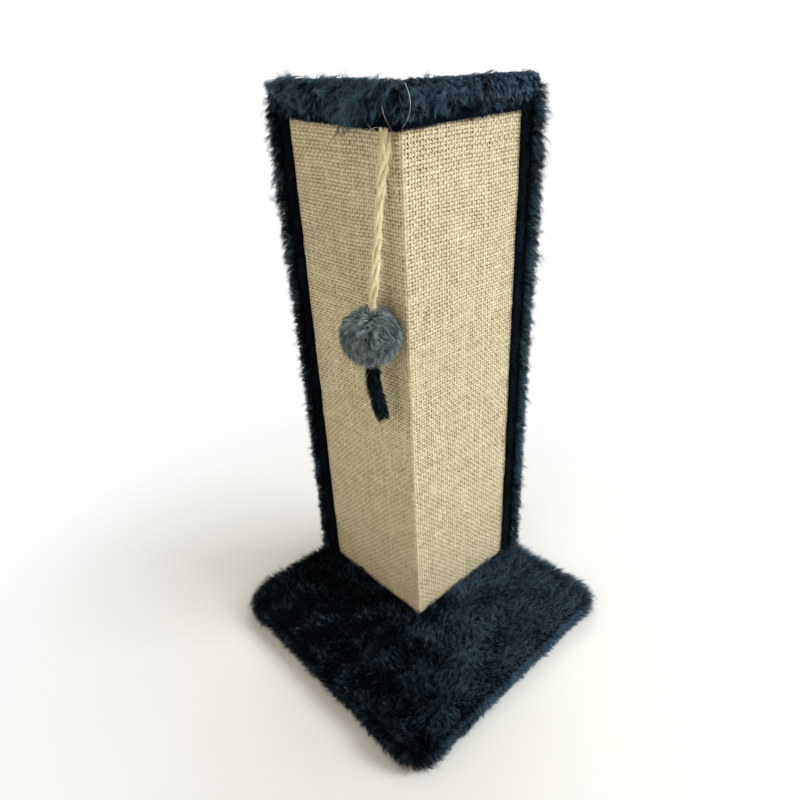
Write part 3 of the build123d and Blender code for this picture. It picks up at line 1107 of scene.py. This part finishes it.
@dataclass
class SisalCloth:
    """Plain-weave sisal, one piece folded round the corner. The yarns are real."""

    shop: Workshop
    face: float = -22.5
    end: float = 150.0
    low: float = 18.3
    high: float = 589.5
    pitch: float = 3.45
    fold: float = 2.5
    flat: float = 0.3
    half_yarn: float = 1.3
    half_thick: float = 0.55
    wave: float = 0.5
    depth: float = 0.95

    def build(self) -> None:
        """Makes the backing, the yarns of both ways and the loose fibres."""
        back = self._backing()
        parts = [*self._wefts(), *self._warps(), self._fuzz()]
        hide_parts("sisal_cloth")
        for part in (back, *parts):
            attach(part, "root")

    def _onto(self, along: np.ndarray, up: np.ndarray, lift: np.ndarray) -> tuple:
        """Brings flat places onto the folded cloth.

        Args:
            along: Place along the cloth from the corner, negative on the left.
            up: Height.
            lift: Distance out from the face.

        Returns:
            Points, directions along the cloth and directions out of it.
        """
        bend = np.clip(along / self.fold, -math.pi / 4, math.pi / 4)
        turn = math.pi / 4 + bend
        rest = along - bend * self.fold
        out = np.stack([-np.cos(turn), -np.sin(turn), np.zeros_like(turn)], -1)
        way = np.stack([np.sin(turn), -np.cos(turn), np.zeros_like(turn)], -1)
        middle = self.face + self.fold
        points = way * rest[..., None] + out * (self.fold + lift)[..., None]
        points[..., :2] += middle
        points[..., 2] = up
        return points, way, out

    def _reach(self) -> float:
        """Length of the cloth on one face, from the fold's middle."""
        return self.end - self.face - self.fold + self.fold * math.pi / 4

    def _places(self) -> np.ndarray:
        """Where the upright yarns stand along the cloth. None is on the fold's middle."""
        half = int(self._reach() / self.pitch)
        return (np.arange(-half, half) + 0.5) * self.pitch

    def _heights(self) -> np.ndarray:
        """Where the level yarns lie."""
        rows = int((self.high - self.low) / self.pitch)
        return self.low + self.pitch * (np.arange(rows) + 0.5)

    def _rings(self, crossings: np.ndarray) -> np.ndarray:
        """Two rings a crossing, one on each side of it."""
        return np.stack([crossings - self.flat * self.pitch, crossings + self.flat * self.pitch], 1).ravel()

    def _backing(self) -> bpy.types.Object:
        """Dark cloth seen through the weave's holes."""
        along = np.concatenate([-np.linspace(self._reach(), 4, 34), np.linspace(-2, 2, 5),
                                np.linspace(4, self._reach(), 34)])
        up = np.linspace(self.low, self.high, 100)
        flat_along, flat_up = np.meshgrid(along, up)
        points, _, _ = self._onto(flat_along, flat_up, np.full_like(flat_up, -1.72))
        return grid_piece("sisal_backing", points, SISAL_BACK.material())

    def _family(self, rng: np.random.Generator, count: int, first: int, steps: int) -> tuple:
        """Random slubs and tones of a family of yarns, and which crossings they pass over."""
        over = np.where((first + np.arange(count)[:, None] + np.arange(steps)[None] // 2) % 2, 1.0, -1.0)
        knots = rng.normal(size=(count, steps // 5 + 3))
        place = np.arange(steps) / 5
        slub = np.array([np.interp(place, np.arange(len(row)), row) for row in knots])
        drift = rng.normal(size=(count, steps // 16 + 3))
        slow = np.array([np.interp(np.arange(steps) / 16, np.arange(len(row)), row) for row in drift])
        tone = 0.5 + 0.06 * rng.normal(size=(count, 1)) + 0.13 * slub + 0.05 * slow
        return over, slub, slow, np.clip(tone, 0.03, 0.95)

    def _yarns(self, name: str, rng: np.random.Generator, over: np.ndarray, slub: np.ndarray,
               tone: np.ndarray, along: np.ndarray, up: np.ndarray, weft: bool) -> bpy.types.Object:
        """Makes a group of yarns.

        Args:
            name: The piece's name.
            rng: The random source.
            over: 1 where a yarn passes over, -1 where it passes under.
            slub: Its thick and thin places.
            tone: Its tones.
            along: Places along the cloth.
            up: Heights.
            weft: Whether the yarns run across the cloth.

        Returns:
            The object.
        """
        lift = -self.depth + self.wave * over + 0.06 * slub
        points, way, out = self._onto(along, up, lift)
        upward = np.zeros_like(way)
        upward[..., 2] = 1.0
        across = upward if weft else way
        wide = self.half_yarn * (1 + 0.11 * slub + 0.04 * over)
        thick = self.half_thick * (1 + 0.08 * slub)
        run = rng.uniform(0, 2, (over.shape[0], 1)) + np.arange(over.shape[1]) * 0.043
        wrap = np.abs(run % 2 - 1)
        material = self.shop.yarn
        return Strings(points, across, out, wide, thick, 5).build(name, material, tone - 0.01, 0.02, wrap)

    def _groups(self, names: tuple, rng: np.random.Generator, *values: np.ndarray) -> list:
        """Cuts a family of yarns into pieces, one for each name."""
        groups = np.array_split(np.arange(len(values[0])), len(names))
        return [self._yarns(f"sisal_{name}", rng, *(value[part] for value in values),
                            name.startswith("weft")) for name, part in zip(names, groups)]

    def _bend(self, along: np.ndarray, up: np.ndarray) -> tuple[np.ndarray, np.ndarray]:
        """The cloth's small distortions."""
        flat = np.stack([along, up, np.zeros_like(up)], -1)
        return along + 0.55 * Drift(51, 60.0)(flat), up + 0.75 * Drift(52, 75.0)(flat)

    def _wefts(self) -> list[bpy.types.Object]:
        """Yarns that run across both faces and round the corner."""
        rng = np.random.default_rng(53)
        heights = self._heights()
        rows = len(heights)
        along = self._rings(self._places())
        over, slub, slow, tone = self._family(rng, rows, 0, len(along))
        flat_along, flat_up = np.meshgrid(along, heights)
        flat_up = flat_up + 0.16 * slow + 0.1 * rng.normal(size=(rows, 1))
        flat_along, flat_up = self._bend(flat_along, flat_up)
        return self._groups(("weft_low", "weft_middle", "weft_high"), rng, over, slub, tone,
                            flat_along, flat_up)

    def _warps(self) -> list[bpy.types.Object]:
        """Upright yarns."""
        rng = np.random.default_rng(54)
        up = self._rings(self._heights())
        places = self._places()
        over, slub, slow, tone = self._family(rng, len(places), 1, len(up))
        flat_up, flat_along = np.meshgrid(up, places)
        flat_along = flat_along + 0.16 * slow + 0.12 * rng.normal(size=(len(places), 1))
        flat_along, flat_up = self._bend(flat_along, flat_up)
        return self._groups(("warp_left", "warp_right"), rng, over, slub, tone, flat_along, flat_up)

    def _fuzz(self) -> bpy.types.Object:
        """Short fibres that stand out of the yarns."""
        rng = np.random.default_rng(56)
        count = 5200
        along = rng.uniform(-self._reach() + 12, self._reach() - 12, count)
        up = rng.uniform(self.low + 6, self.high - 20, count)
        roots, way, out = self._onto(along, up, np.full(count, -0.7))
        turn = rng.uniform(0, TURN, count)
        upward = np.array([0, 0, 1.0])
        flat = way * np.cos(turn)[:, None] + upward * np.sin(turn)[:, None]
        length = rng.uniform(2.0, 7.0, count)[:, None]
        rise = rng.uniform(0.15, 0.6, count)[:, None]
        curl = np.cross(flat, out) * rng.normal(0, 0.35, (count, 1))
        share = (0.0, 0.35, 0.7, 1.0)
        lines = np.stack([roots + flat * length * s + out * rise * length * math.sin(2.4 * s) * 0.5
                          + curl * length * s * s for s in share], 1)
        return ribbons("sisal_fuzz", lines, 0.2, rng.uniform(0.3, 1.0, count), 57, self.shop.straw)


# Plush


@dataclass
class BaseCover:
    """Plush over the square base, turned in under the board."""

    shop: Workshop
    half: float = 151.6
    corner: float = 26.6
    top: float = 19.6
    shoulder: float = 3.0
    bottom: float = 0.4
    under: float = 28.0
    density: float = 1.85

    def build(self) -> None:
        """Makes the skin and its pile."""
        skin = self._skin()
        parts = self._pile()
        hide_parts("base_plush")
        for part in (skin, *parts):
            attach(part, "root")

    def _outline(self, half: float, corner: float, count: int = 160) -> tuple[np.ndarray, np.ndarray]:
        """Rounded square.

        Args:
            half: Half its side.
            corner: Its corner's radius.
            count: How many points, a quarter of them on each side, seven of those on its corner.

        Returns:
            Points and outward directions in plan.
        """
        quarter = count // 4
        points, ways = [], []
        for side in range(4):
            base = math.pi / 2 * side
            ahead = np.array([-math.sin(base), math.cos(base)])
            outward = np.array([math.cos(base), math.sin(base)])
            straight = np.linspace(-(half - corner), half - corner, quarter - 7)
            for place in straight:
                points.append(outward * half + ahead * place)
                ways.append(outward)
            for share in np.arange(1, 8) / 8:
                turn = base + math.pi / 2 * share
                way = np.array([math.cos(turn), math.sin(turn)])
                points.append((outward + ahead) * (half - corner) + way * corner)
                ways.append(way)
        return np.array(points), np.array(ways)

    def _skin(self) -> bpy.types.Object:
        """The cloth under the pile, from the middle out, down the sides and in under the board."""
        rings = []
        for share in np.linspace(0.02, 1, 24):
            inner = self.half - self.shoulder
            rings.append((inner * share, (self.corner - self.shoulder) * share, self.top))
        for turn in np.linspace(0, math.pi / 2, 6)[1:]:
            out = self.shoulder * (math.sin(turn) - 1)
            drop = self.shoulder * (1 - math.cos(turn))
            rings.append((self.half + out, self.corner + out, self.top - drop))
        for height in (9.0, 5.5, 3.0):
            rings.append((self.half, self.corner, height))
        for turn in np.linspace(0, math.pi / 2, 4)[1:]:
            out = 2.6 * (math.cos(turn) - 1)
            rings.append((self.half + out, self.corner + out, 3.0 - 2.6 * math.sin(turn)))
        for inward in (10.0, 18.0, self.under):
            rings.append((self.half - inward, max(2.0, self.corner - inward), self.bottom))
        rings.append((self.half - self.under, 2.0, 2.7))
        points = []
        for half, corner, height in rings:
            plan, _ = self._outline(half, corner)
            points.append(np.column_stack([plan, np.full(len(plan), height)]))
        points = np.array(points)
        wobble = 0.25 * Drift(61, 40.0)(points)
        points[:27, :, 2] += wobble[:27]
        middle = (points[:-1] + points[1:]) / 2
        keep = ~self._under_upright(middle) | (middle[..., 2] < 17)
        return grid_piece("base_cover_skin", points, self.shop.backing, keep, round_=True)

    @staticmethod
    def _under_upright(places: np.ndarray, margin: float = 0.0) -> np.ndarray:
        """Whether places lie under the uprights."""
        x, y = places[..., 0], places[..., 1]
        low, back, end = -21.5 - margin, -9.0 + margin, 149.0 + margin
        left = (x > low) & (x < back) & (y > low) & (y < end)
        right = (y > low) & (y < back) & (x > low) & (x < end)
        return left | right

    def _clear(self, lines: np.ndarray) -> None:
        """Keeps strands above the floor and out of the uprights."""
        lines[..., 2] = np.maximum(lines[..., 2], 0.4)
        for near, far in ((0, 1), (1, 0)):
            depth, reach = lines[..., near], lines[..., far]
            inside = (reach > -23.0) & (reach < 152) & (lines[..., 2] > self.top)
            front = inside & (depth > -23.2) & (depth < -15)
            back = inside & (depth >= -15) & (depth < -5.5)
            lines[..., near] = np.where(front, -23.2, np.where(back, -5.5, depth))

    def _top_roots(self, rng: np.random.Generator) -> tuple[np.ndarray, np.ndarray]:
        """Random roots on the top and the shoulder, and the surface's directions there."""
        count = int(4 * self.half ** 2 * self.density)
        plan = rng.uniform(-self.half, self.half, (count, 2))
        over = np.abs(plan) - (self.half - self.corner)
        beyond = np.maximum(over, 0)
        past = np.linalg.norm(beyond, axis=1)
        inside = np.where((over > 0).all(1), self.corner - past, self.corner - over.max(1))
        way = np.where((over > 0).all(1)[:, None], beyond, (over == over.max(1, keepdims=True)) * 1.0)
        way = unit(way * np.sign(plan))
        fits = (inside > 0) & ~self._under_upright(plan, 2.0)
        plan, inside, way = plan[fits], inside[fits], way[fits]
        tilt = np.arcsin(np.clip(1 - inside / self.shoulder, 0, 0.999))
        roots = np.column_stack([plan, self.top - self.shoulder * (1 - np.cos(tilt))])
        return roots, np.column_stack([way * np.sin(tilt)[:, None], np.cos(tilt)])

    def _side_roots(self, rng: np.random.Generator) -> tuple[np.ndarray, np.ndarray]:
        """Random roots round the sides, and the surface's directions there."""
        outline, outward = self._outline(self.half, self.corner)
        gaps = np.linalg.norm(np.roll(outline, -1, 0) - outline, axis=1)
        count = int(gaps.sum() * (self.top - 1) * self.density * 1.25)
        pick = rng.choice(len(outline), count, p=gaps / gaps.sum())
        part_way = rng.uniform(size=(count, 1))
        after = (pick + 1) % len(outline)
        roots = np.column_stack([outline[pick] * (1 - part_way) + outline[after] * part_way,
                                 rng.uniform(1.0, self.top - 0.5, count)])
        normals = unit(np.column_stack([outward[pick] * (1 - part_way) + outward[after] * part_way,
                                        np.full(count, 0.12)]))
        return roots, normals

    def _comb(self, roots: np.ndarray) -> np.ndarray:
        """The way that the pile is brushed: outward at the edges, to the right in front, and unevenly."""
        plan_way = roots[:, :2] / self.half
        edge = np.abs(plan_way).max(1, keepdims=True) ** 2
        across = np.clip((roots[:, :1] - roots[:, 1:2]) / 150, -1, 1) * np.array([0.55, -0.55])
        comb = np.column_stack([0.5 * plan_way * edge + across, np.full(len(roots), -0.1)])
        field = np.stack([Drift(seed, 42.0)(roots) for seed in (64, 65, 66)], -1)
        return comb + 0.6 * field

    @staticmethod
    def _stretch_and_painted_light(roots: np.ndarray) -> tuple[np.ndarray, np.ndarray]:
        """How much longer than usual each strand is, and its painted light and shade: lighter right of the
        corner's diagonal, darker left of it.
        """
        x, y = roots[:, 0], roots[:, 1]
        corner = np.clip((np.abs(x) + np.abs(y) - 245) / 45, 0, 1)
        front_edge = np.clip((-y - 135) / 12, 0, 1)
        back_edge = np.clip((x - 135) / 12, 0, 1) + np.clip((y - 135) / 12, 0, 1)
        tip = np.clip((-x - y - 255) / 30, 0, 1)
        stretch = 1 + 0.4 * corner - 0.35 * front_edge * (x < 125) + 0.4 * back_edge + 0.12 * tip
        # Painted light and shade: lighter right of the corner's diagonal, where the key lamp falls, darker
        # left of it, in the uprights' shadow.
        shade = 0.62 * np.clip((x - y) / 90, 0, 1) - 0.2 * np.clip((y - x) / 120, 0, 1)
        return stretch, shade

    def _pile(self) -> list[bpy.types.Object]:
        """Pile of the top, the shoulder and the sides, a quarter of the base in each piece."""
        rng = np.random.default_rng(63)
        (top, top_normals), (sides, side_normals) = self._top_roots(rng), self._side_roots(rng)
        roots = np.concatenate([top, sides])
        normals = np.concatenate([top_normals, side_normals])
        comb = self._comb(roots)
        stretch, shade = self._stretch_and_painted_light(roots)
        made = []
        for number, name in enumerate(("front_left", "front_right", "back_right", "back_left")):
            part = self._quarter(roots, number)
            made.append(BASE_PILE.grow(f"base_pile_{name}", 70 + number, roots[part], normals[part],
                                       comb[part], self.shop.plush, clear=self._clear,
                                       stretch=stretch[part], shade=shade[part]))
        return made

    @staticmethod
    def _quarter(places: np.ndarray, number: int) -> np.ndarray:
        """Whether places lie in one of the base's quarters, split along its middle lines."""
        right = places[:, 0] >= 0 if number in (1, 2) else places[:, 0] < 0
        back = places[:, 1] >= 0 if number in (2, 3) else places[:, 1] < 0
        return right & back


@dataclass
class WingPlush:
    """Plush round one upright: its top and outer edge, its back and its folded hems."""

    shop: Workshop
    side: Side
    seed: int
    top_reach: float = 15.5
    front: float = -27.4
    back: float = -6.0
    end: float = 154.6
    top: float = 592.2
    low: float = 20.2
    front_radius: float = 8.5
    back_radius: float = 3.5
    border: float = 141.5
    band: float = 571.0
    sisal: float = -22.5
    cap: float = 590.0
    outer: float = 150.0
    hem_rise: float = 4.7
    hem_half: float = 4.4
    side_hem: float = 137.0
    top_hem: float = 566.4

    def build(self) -> None:
        """Makes the three skins, their pile and the hems."""
        name = self.side.value
        skins = self._skins()
        piles = {"top": self._top_pile(), "side": self._side_pile(), "back": self._back_pile()}
        hems = {"top": self._hem("top"), "side": self._hem("side"), "back": []}
        for part in ("top", "side", "back"):
            skin = skins[part]
            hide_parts(f"{name}_{part}_plush")
            if hems[part]:
                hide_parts(f"{name}_{part}_hem")
            for one in (skin, piles[part]):
                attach(one, "root")
            for one in hems[part]:
                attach(one, "root")

    def _onto(self, places: np.ndarray) -> tuple[np.ndarray, np.ndarray]:
        """Rounds the box's edges: points of the plain box brought to the rounded one.

        Args:
            places: Points on the plain box.

        Returns:
            Points on the rounded box and its outward directions there.
        """
        share = (places[..., 0] - self.front) / (self.back - self.front)
        r = self.front_radius + (self.back_radius - self.front_radius) * share
        core = np.stack([np.clip(places[..., 0], self.front + r, self.back - r),
                         np.minimum(places[..., 1], self.end - r),
                         np.minimum(places[..., 2], self.top - r)], -1)
        way = unit(places - core)
        return core + way * r[..., None], way

    def _skins(self) -> dict[str, bpy.types.Object]:
        """The cloth under the pile, as one strip round the upright, cut into its three pieces."""
        depth = np.linspace(self.front, self.back, 8)
        heights = np.concatenate([np.linspace(self.low, self.band, 92),
                                  np.linspace(self.band + 3, self.top, 8)])
        span = np.concatenate([np.linspace(0, 1, 40) * (self.border - self.front) + self.front,
                               np.linspace(self.border + 2, self.end, 6)])
        sheets = {"top": [], "side": [], "back": []}
        for wall in (self.front, self.back):
            self._add_wall(sheets, wall, heights, span)
        self._add_end(sheets, heights, depth)
        self._add_cap(sheets, span, depth)
        return {part: self._joined(f"{self.side.value}_{part}_skin", patches)
                for part, patches in sheets.items()}

    def _add_wall(self, sheets: dict, wall: float, heights: np.ndarray, span: np.ndarray) -> None:
        """Adds the front wall, which is open over the sisal, or the rear one."""
        grid_z, grid_y = np.meshgrid(heights, span, indexing="ij")
        places = np.stack([np.full_like(grid_y, wall), np.maximum(grid_y, wall), grid_z], -1)
        middle = (places[:-1, :-1] + places[1:, 1:]) / 2
        y, z = middle[..., 1], middle[..., 2]
        live = places[1:, 1:, 1] - places[:-1, :-1, 1] > LEAST_FIELD
        is_front = wall == self.front
        if is_front:
            live &= (y > self.border) | (z > self.band)
        upper = z > (self.band if is_front else self.cap)
        sheets["top"].append((places, live & upper))
        if is_front:
            sheets["side"].append((places, live & ~upper))
            return
        outer = y > self.outer
        sheets["side"].append((places, live & ~upper & outer))
        sheets["back"].append((places, live & ~upper & ~outer))

    def _add_end(self, sheets: dict, heights: np.ndarray, depth: np.ndarray) -> None:
        """Adds the upright's outer end."""
        grid_z, grid_x = np.meshgrid(heights, depth, indexing="ij")
        places = np.stack([grid_x, np.full_like(grid_x, self.end), grid_z], -1)
        upper = (places[:-1, :-1, 2] + places[1:, 1:, 2]) / 2 > self.cap
        sheets["top"].append((places, upper))
        sheets["side"].append((places, ~upper))

    def _add_cap(self, sheets: dict, span: np.ndarray, depth: np.ndarray) -> None:
        """Adds the upper face, up to the corner's diagonal."""
        grid_y, grid_x = np.meshgrid(span, depth, indexing="ij")
        places = np.stack([grid_x, np.maximum(grid_y, grid_x), np.full_like(grid_x, self.top)], -1)
        y = places[..., 1]
        live = y[1:, 1:] + y[1:, :-1] - y[:-1, 1:] - y[:-1, :-1]
        sheets["top"].append((places, live > LEAST_FIELD))

    def _joined(self, name: str, patches: list) -> bpy.types.Object:
        """One mesh of several grids of which some fields are kept."""
        points, quads, start = [], [], 0
        for places, keep in patches:
            rows, columns = places.shape[:2]
            number = np.arange(rows * columns).reshape(rows, columns) + start
            quads.append(fields(number)[keep])
            points.append(self._onto(places)[0].reshape(-1, 3))
            start += rows * columns
        points, quads = used_only(np.concatenate(points), np.concatenate(quads))
        return piece(name, self.side.place(points), [quads], self.shop.backing)

    def _sample(self, rng: np.random.Generator, density: float, low: tuple, high: tuple) -> np.ndarray:
        """Random places on one wall of the plain box, on this upright's side of the diagonal."""
        size = np.array(high) - np.array(low)
        count = int(np.prod(size[size > 0]) * density)
        places = np.array(low) + size * rng.uniform(size=(count, 3))
        return places[places[:, 1] >= places[:, 0]]

    def _grow(self, name: str, pile: Pile, groups: list, seed: int, clear: Clear | None = None,
              stretch: Grade | None = None, shade: Grade | None = None) -> bpy.types.Object:
        """Grows pile from groups of places, each with the way that it is brushed."""
        places = np.concatenate([group for group, _ in groups])
        comb = np.concatenate([np.broadcast_to(np.array(way, float), group.shape) for group, way in groups])
        roots, normals = self._onto(places)
        field = np.stack([Drift(seed + k, 22.0)(roots) for k in range(3)], -1)
        return pile.grow(name, seed + 5, roots, normals, comb + pile.messy * field, self.shop.plush,
                         self.side, clear, 1.0 if stretch is None else stretch(roots),
                         0.0 if shade is None else shade(roots))

    def _top_pile(self) -> bpy.types.Object:
        """Long messy pile that falls over the sisal's upper edge."""
        rng = np.random.default_rng(self.seed)
        density = 2.3
        far = (self.back, self.end, self.top)
        front = self._sample(rng, density, (self.front, self.front, self.band),
                             (self.front, self.end, self.top))
        cap = self._sample(rng, density, (self.front, self.front, self.top), far)
        rear = self._sample(rng, density * 0.7, (self.back, self.back, 588.0), far)
        end = self._sample(rng, density, (self.front, self.end, 580.0), far)
        pile = replace(TOP_PILE, length=self.top_reach)
        groups = [(front, (-0.1, 0.0, -0.9)), (cap, (-0.5, 0.1, 0.0)), (rear, (0.1, 0.0, -1.0)),
                  (end, (0.0, 0.2, -0.4))]

        def clear(lines: np.ndarray) -> None:
            """Keeps the pile in front of the sisal and its hem."""
            low = lines[..., 2] < self.band
            front_side = lines[..., 0] < -15
            lines[..., 0] = np.where(low & front_side, np.minimum(lines[..., 0], self.sisal - 1.0),
                                     lines[..., 0])

        def stretch(roots: np.ndarray) -> np.ndarray:
            """Longer in the middle of the left border, shorter towards the outer ends."""
            y, over = roots[:, 1], roots[:, 2] > self.top - 3
            if self.side is Side.RIGHT:
                outer = np.clip((y - 75) / 60, 0, 1)
                front = (1 + 0.15 * np.exp(-(y / 30) ** 2)) * (1 - 0.5 * outer)
                return np.where(over, 0.6 - 0.1 * outer, front)
            front = 1 + 0.8 * np.exp(-((y - 22) / 26) ** 2) - 0.25 * np.clip((y - 90) / 40, 0, 1)
            cap = 1.0 - 0.4 * np.exp(-((y + 15) / 50) ** 2) + 0.35 * np.clip((y - 125) / 25, 0, 1)
            return np.where(over, cap, front)

        def shade(roots: np.ndarray) -> np.ndarray:
            """Painted shadow: darker towards the lower edge, under the overhanging fur."""
            return -0.3 * np.clip((583 - roots[:, 2]) / 9, 0, 1)

        return self._grow(f"{self.side.value}_top_pile", pile, groups, self.seed + 10, clear, stretch, shade)

    def _side_pile(self) -> bpy.types.Object:
        """Pile round the outer edge."""
        rng = np.random.default_rng(self.seed + 1)
        density = 1.75
        front = self._sample(rng, density, (self.front, self.border, self.low),
                             (self.front, self.end, self.band + 6))
        end = self._sample(rng, density, (self.front, self.end, self.low), (self.back, self.end, 585.0))
        rear = self._sample(rng, density * 0.6, (self.back, 147.0, self.low), (self.back, self.end, 588.0))
        # Painted light: the right upright's side pile is given a lighter tone than the left's, as the lit
        # side against the shaded one.
        pile = SIDE_PILE if self.side is Side.LEFT else replace(SIDE_PILE, light=0.36)
        groups = [(front, (-0.2, 0.7, -0.5)), (end, (-0.2, 0.0, -0.6)), (rear, (0.0, 0.3, -0.7))]

        def stretch(roots: np.ndarray) -> np.ndarray:
            """Longer in the upper half."""
            least = 0.9 if self.side is Side.LEFT else 1.05
            return least + 0.25 * np.clip((roots[:, 2] - 330) / 120, 0, 1)

        return self._grow(f"{self.side.value}_side_pile", pile, groups, self.seed + 20, stretch=stretch)

    def _back_pile(self) -> bpy.types.Object:
        """Flatter pile on the back."""
        rng = np.random.default_rng(self.seed + 2)
        rear = self._sample(rng, 0.46, (self.back, self.back, self.low), (self.back, 150.0, 590.0))
        return self._grow(f"{self.side.value}_back_pile", BACK_PILE, [(rear, (0.0, 0.0, -1.0))],
                          self.seed + 30)

    def _hem(self, part: str) -> list[bpy.types.Object]:
        """A folded hem beside the sisal, with its short nap.

        Args:
            part: "top" for the one under the top border, "side" for the upright one.

        Returns:
            The hem's cloth and its nap.
        """
        turn = np.linspace(0, math.pi, 13)
        out = self.hem_rise * np.abs(np.sin(turn)) ** 0.55
        over = self.hem_half * np.sign(np.cos(turn)) * np.abs(np.cos(turn)) ** 0.6
        if part == "top":
            run = np.linspace(-27.2, self.side_hem, 60)
            middle, way = self.top_hem, 1
        else:
            run = np.linspace(self.low, 570.0, 180)
            middle, way = self.side_hem, 2
        points = np.empty((len(run), len(turn), 3))
        points[..., 0] = self.sisal + 0.4 - out[None]
        points[..., way] = run[:, None]
        points[..., 3 - way] = middle + over[None] * (1 if way == 2 else -1)
        if part == "top":
            slope = 1.7 if self.side is Side.LEFT else 0.8
            points[..., 2] += slope * (points[..., 1] - 55) / 82 * (over / self.hem_half + 1)[None]
        swell = Drift(self.seed + 40, 26.0)(points)
        points[..., 0] -= 0.35 * swell * (out / self.hem_rise)
        points[..., 3 - way] += 0.3 * Drift(self.seed + 41, 40.0)(points)
        name = f"{self.side.value}_{part}_hem_fold"
        hem = grid_piece(name, self.side.place(points), self.shop.hem)
        rng = np.random.default_rng(self.seed + 42)
        count = int(len(run) * 3 * 16 * 1.1)
        row = rng.integers(0, len(run) - 1, count)
        column = rng.integers(1, len(turn) - 2, count)
        mixed = rng.uniform(size=(count, 2))
        roots = (points[row, column] * (1 - mixed[:, :1]) + points[row + 1, column] * mixed[:, :1])
        roots = roots + (points[row, column + 1] - points[row, column]) * mixed[:, 1:]
        centre = roots.copy()
        centre[:, 0] = self.sisal
        centre[:, 3 - way] = points[row, :, 3 - way].mean(1)
        normals = unit((roots - centre) * np.array([2.0, 1.0, 1.0]))
        comb = np.zeros_like(roots)
        comb[:, 2] = -0.8
        comb += 0.5 * np.stack([Drift(self.seed + 43 + k, 22.0)(roots) for k in range(3)], -1)
        # Painted light: the right upright's hem nap is lighter than the left's, as the lit side against the
        # shaded one.
        light = 0.03 if self.side is Side.LEFT else 0.3
        length = 6.0 if self.side is Side.LEFT and part == "side" else 3.4
        pile = replace(HEM_PILE, length=length, light=light)
        nap = pile.grow(f"{self.side.value}_{part}_hem_nap", self.seed + 46, roots, normals, comb,
                        self.shop.nap, self.side)
        return [hem, nap]


# CAD parts that stay


@dataclass
class Framework:
    """Boards, screws, nails and staples, which keep their CAD shapes."""

    shop: Workshop
    boards: tuple = ("base_board", "left_board", "right_board")
    metal: tuple = ("base_screws", "hem_staples", "corner_nails", "cloth_staples", "rope_staple")
    rope: tuple = ("rope_anchor",)

    def build(self) -> None:
        """Gives each its finish."""
        for names, material in ((self.boards, self.shop.board), (self.metal, self.shop.steel)):
            for name in names:
                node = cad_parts[name]
                node.data.materials.clear()
                node.data.materials.append(material)
                log.info("%s: finish %s", name, material.name)
        self._anchor()

    def _anchor(self) -> None:
        """The rope's flattened end under the border, as three pressed strands."""
        low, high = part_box("rope_anchor")
        low, high = np.array(low) / MM, np.array(high) / MM
        middle = (low + high) / 2
        run = np.linspace(low[2] + 0.2, high[2] - 0.2, 14)
        centres = np.stack([np.stack([np.full(14, middle[0]),
                                      middle[1] + offset + 0.3 * np.sin(run / 3 + offset), run], 1)
                            for offset in (-3.2, 0.0, 3.2)])
        across = np.broadcast_to(np.array([0, 1.0, 0]), centres.shape)
        out = np.broadcast_to(np.array([1.0, 0, 0]), centres.shape)
        wide = np.full(centres.shape[:2], 1.7)
        thick = np.full(centres.shape[:2], 1.35)
        start = np.repeat(np.arange(3)[:, None] / 3, 14, 1)
        anchor = Strings(centres, across, out, wide, thick, 12).build(
            "rope_pressed_end", self.shop.rope, start, 0.32, np.repeat(np.linspace(0, 0.2, 14)[None], 3, 0))
        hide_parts("rope_anchor")
        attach(anchor, "root")


def main() -> None:
    """Builds everything."""
    logging.basicConfig(level=logging.INFO, format="%(message)s")
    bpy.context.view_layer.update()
    shop = Workshop()
    Studio().build()
    RopeToy(shop).build()
    SisalCloth(shop).build()
    BaseCover(shop).build()
    WingPlush(shop, Side.LEFT, 100).build()
    WingPlush(shop, Side.RIGHT, 200, top_reach=14.0).build()
    Framework(shop).build()


if __name__ == "__main__":
    main()
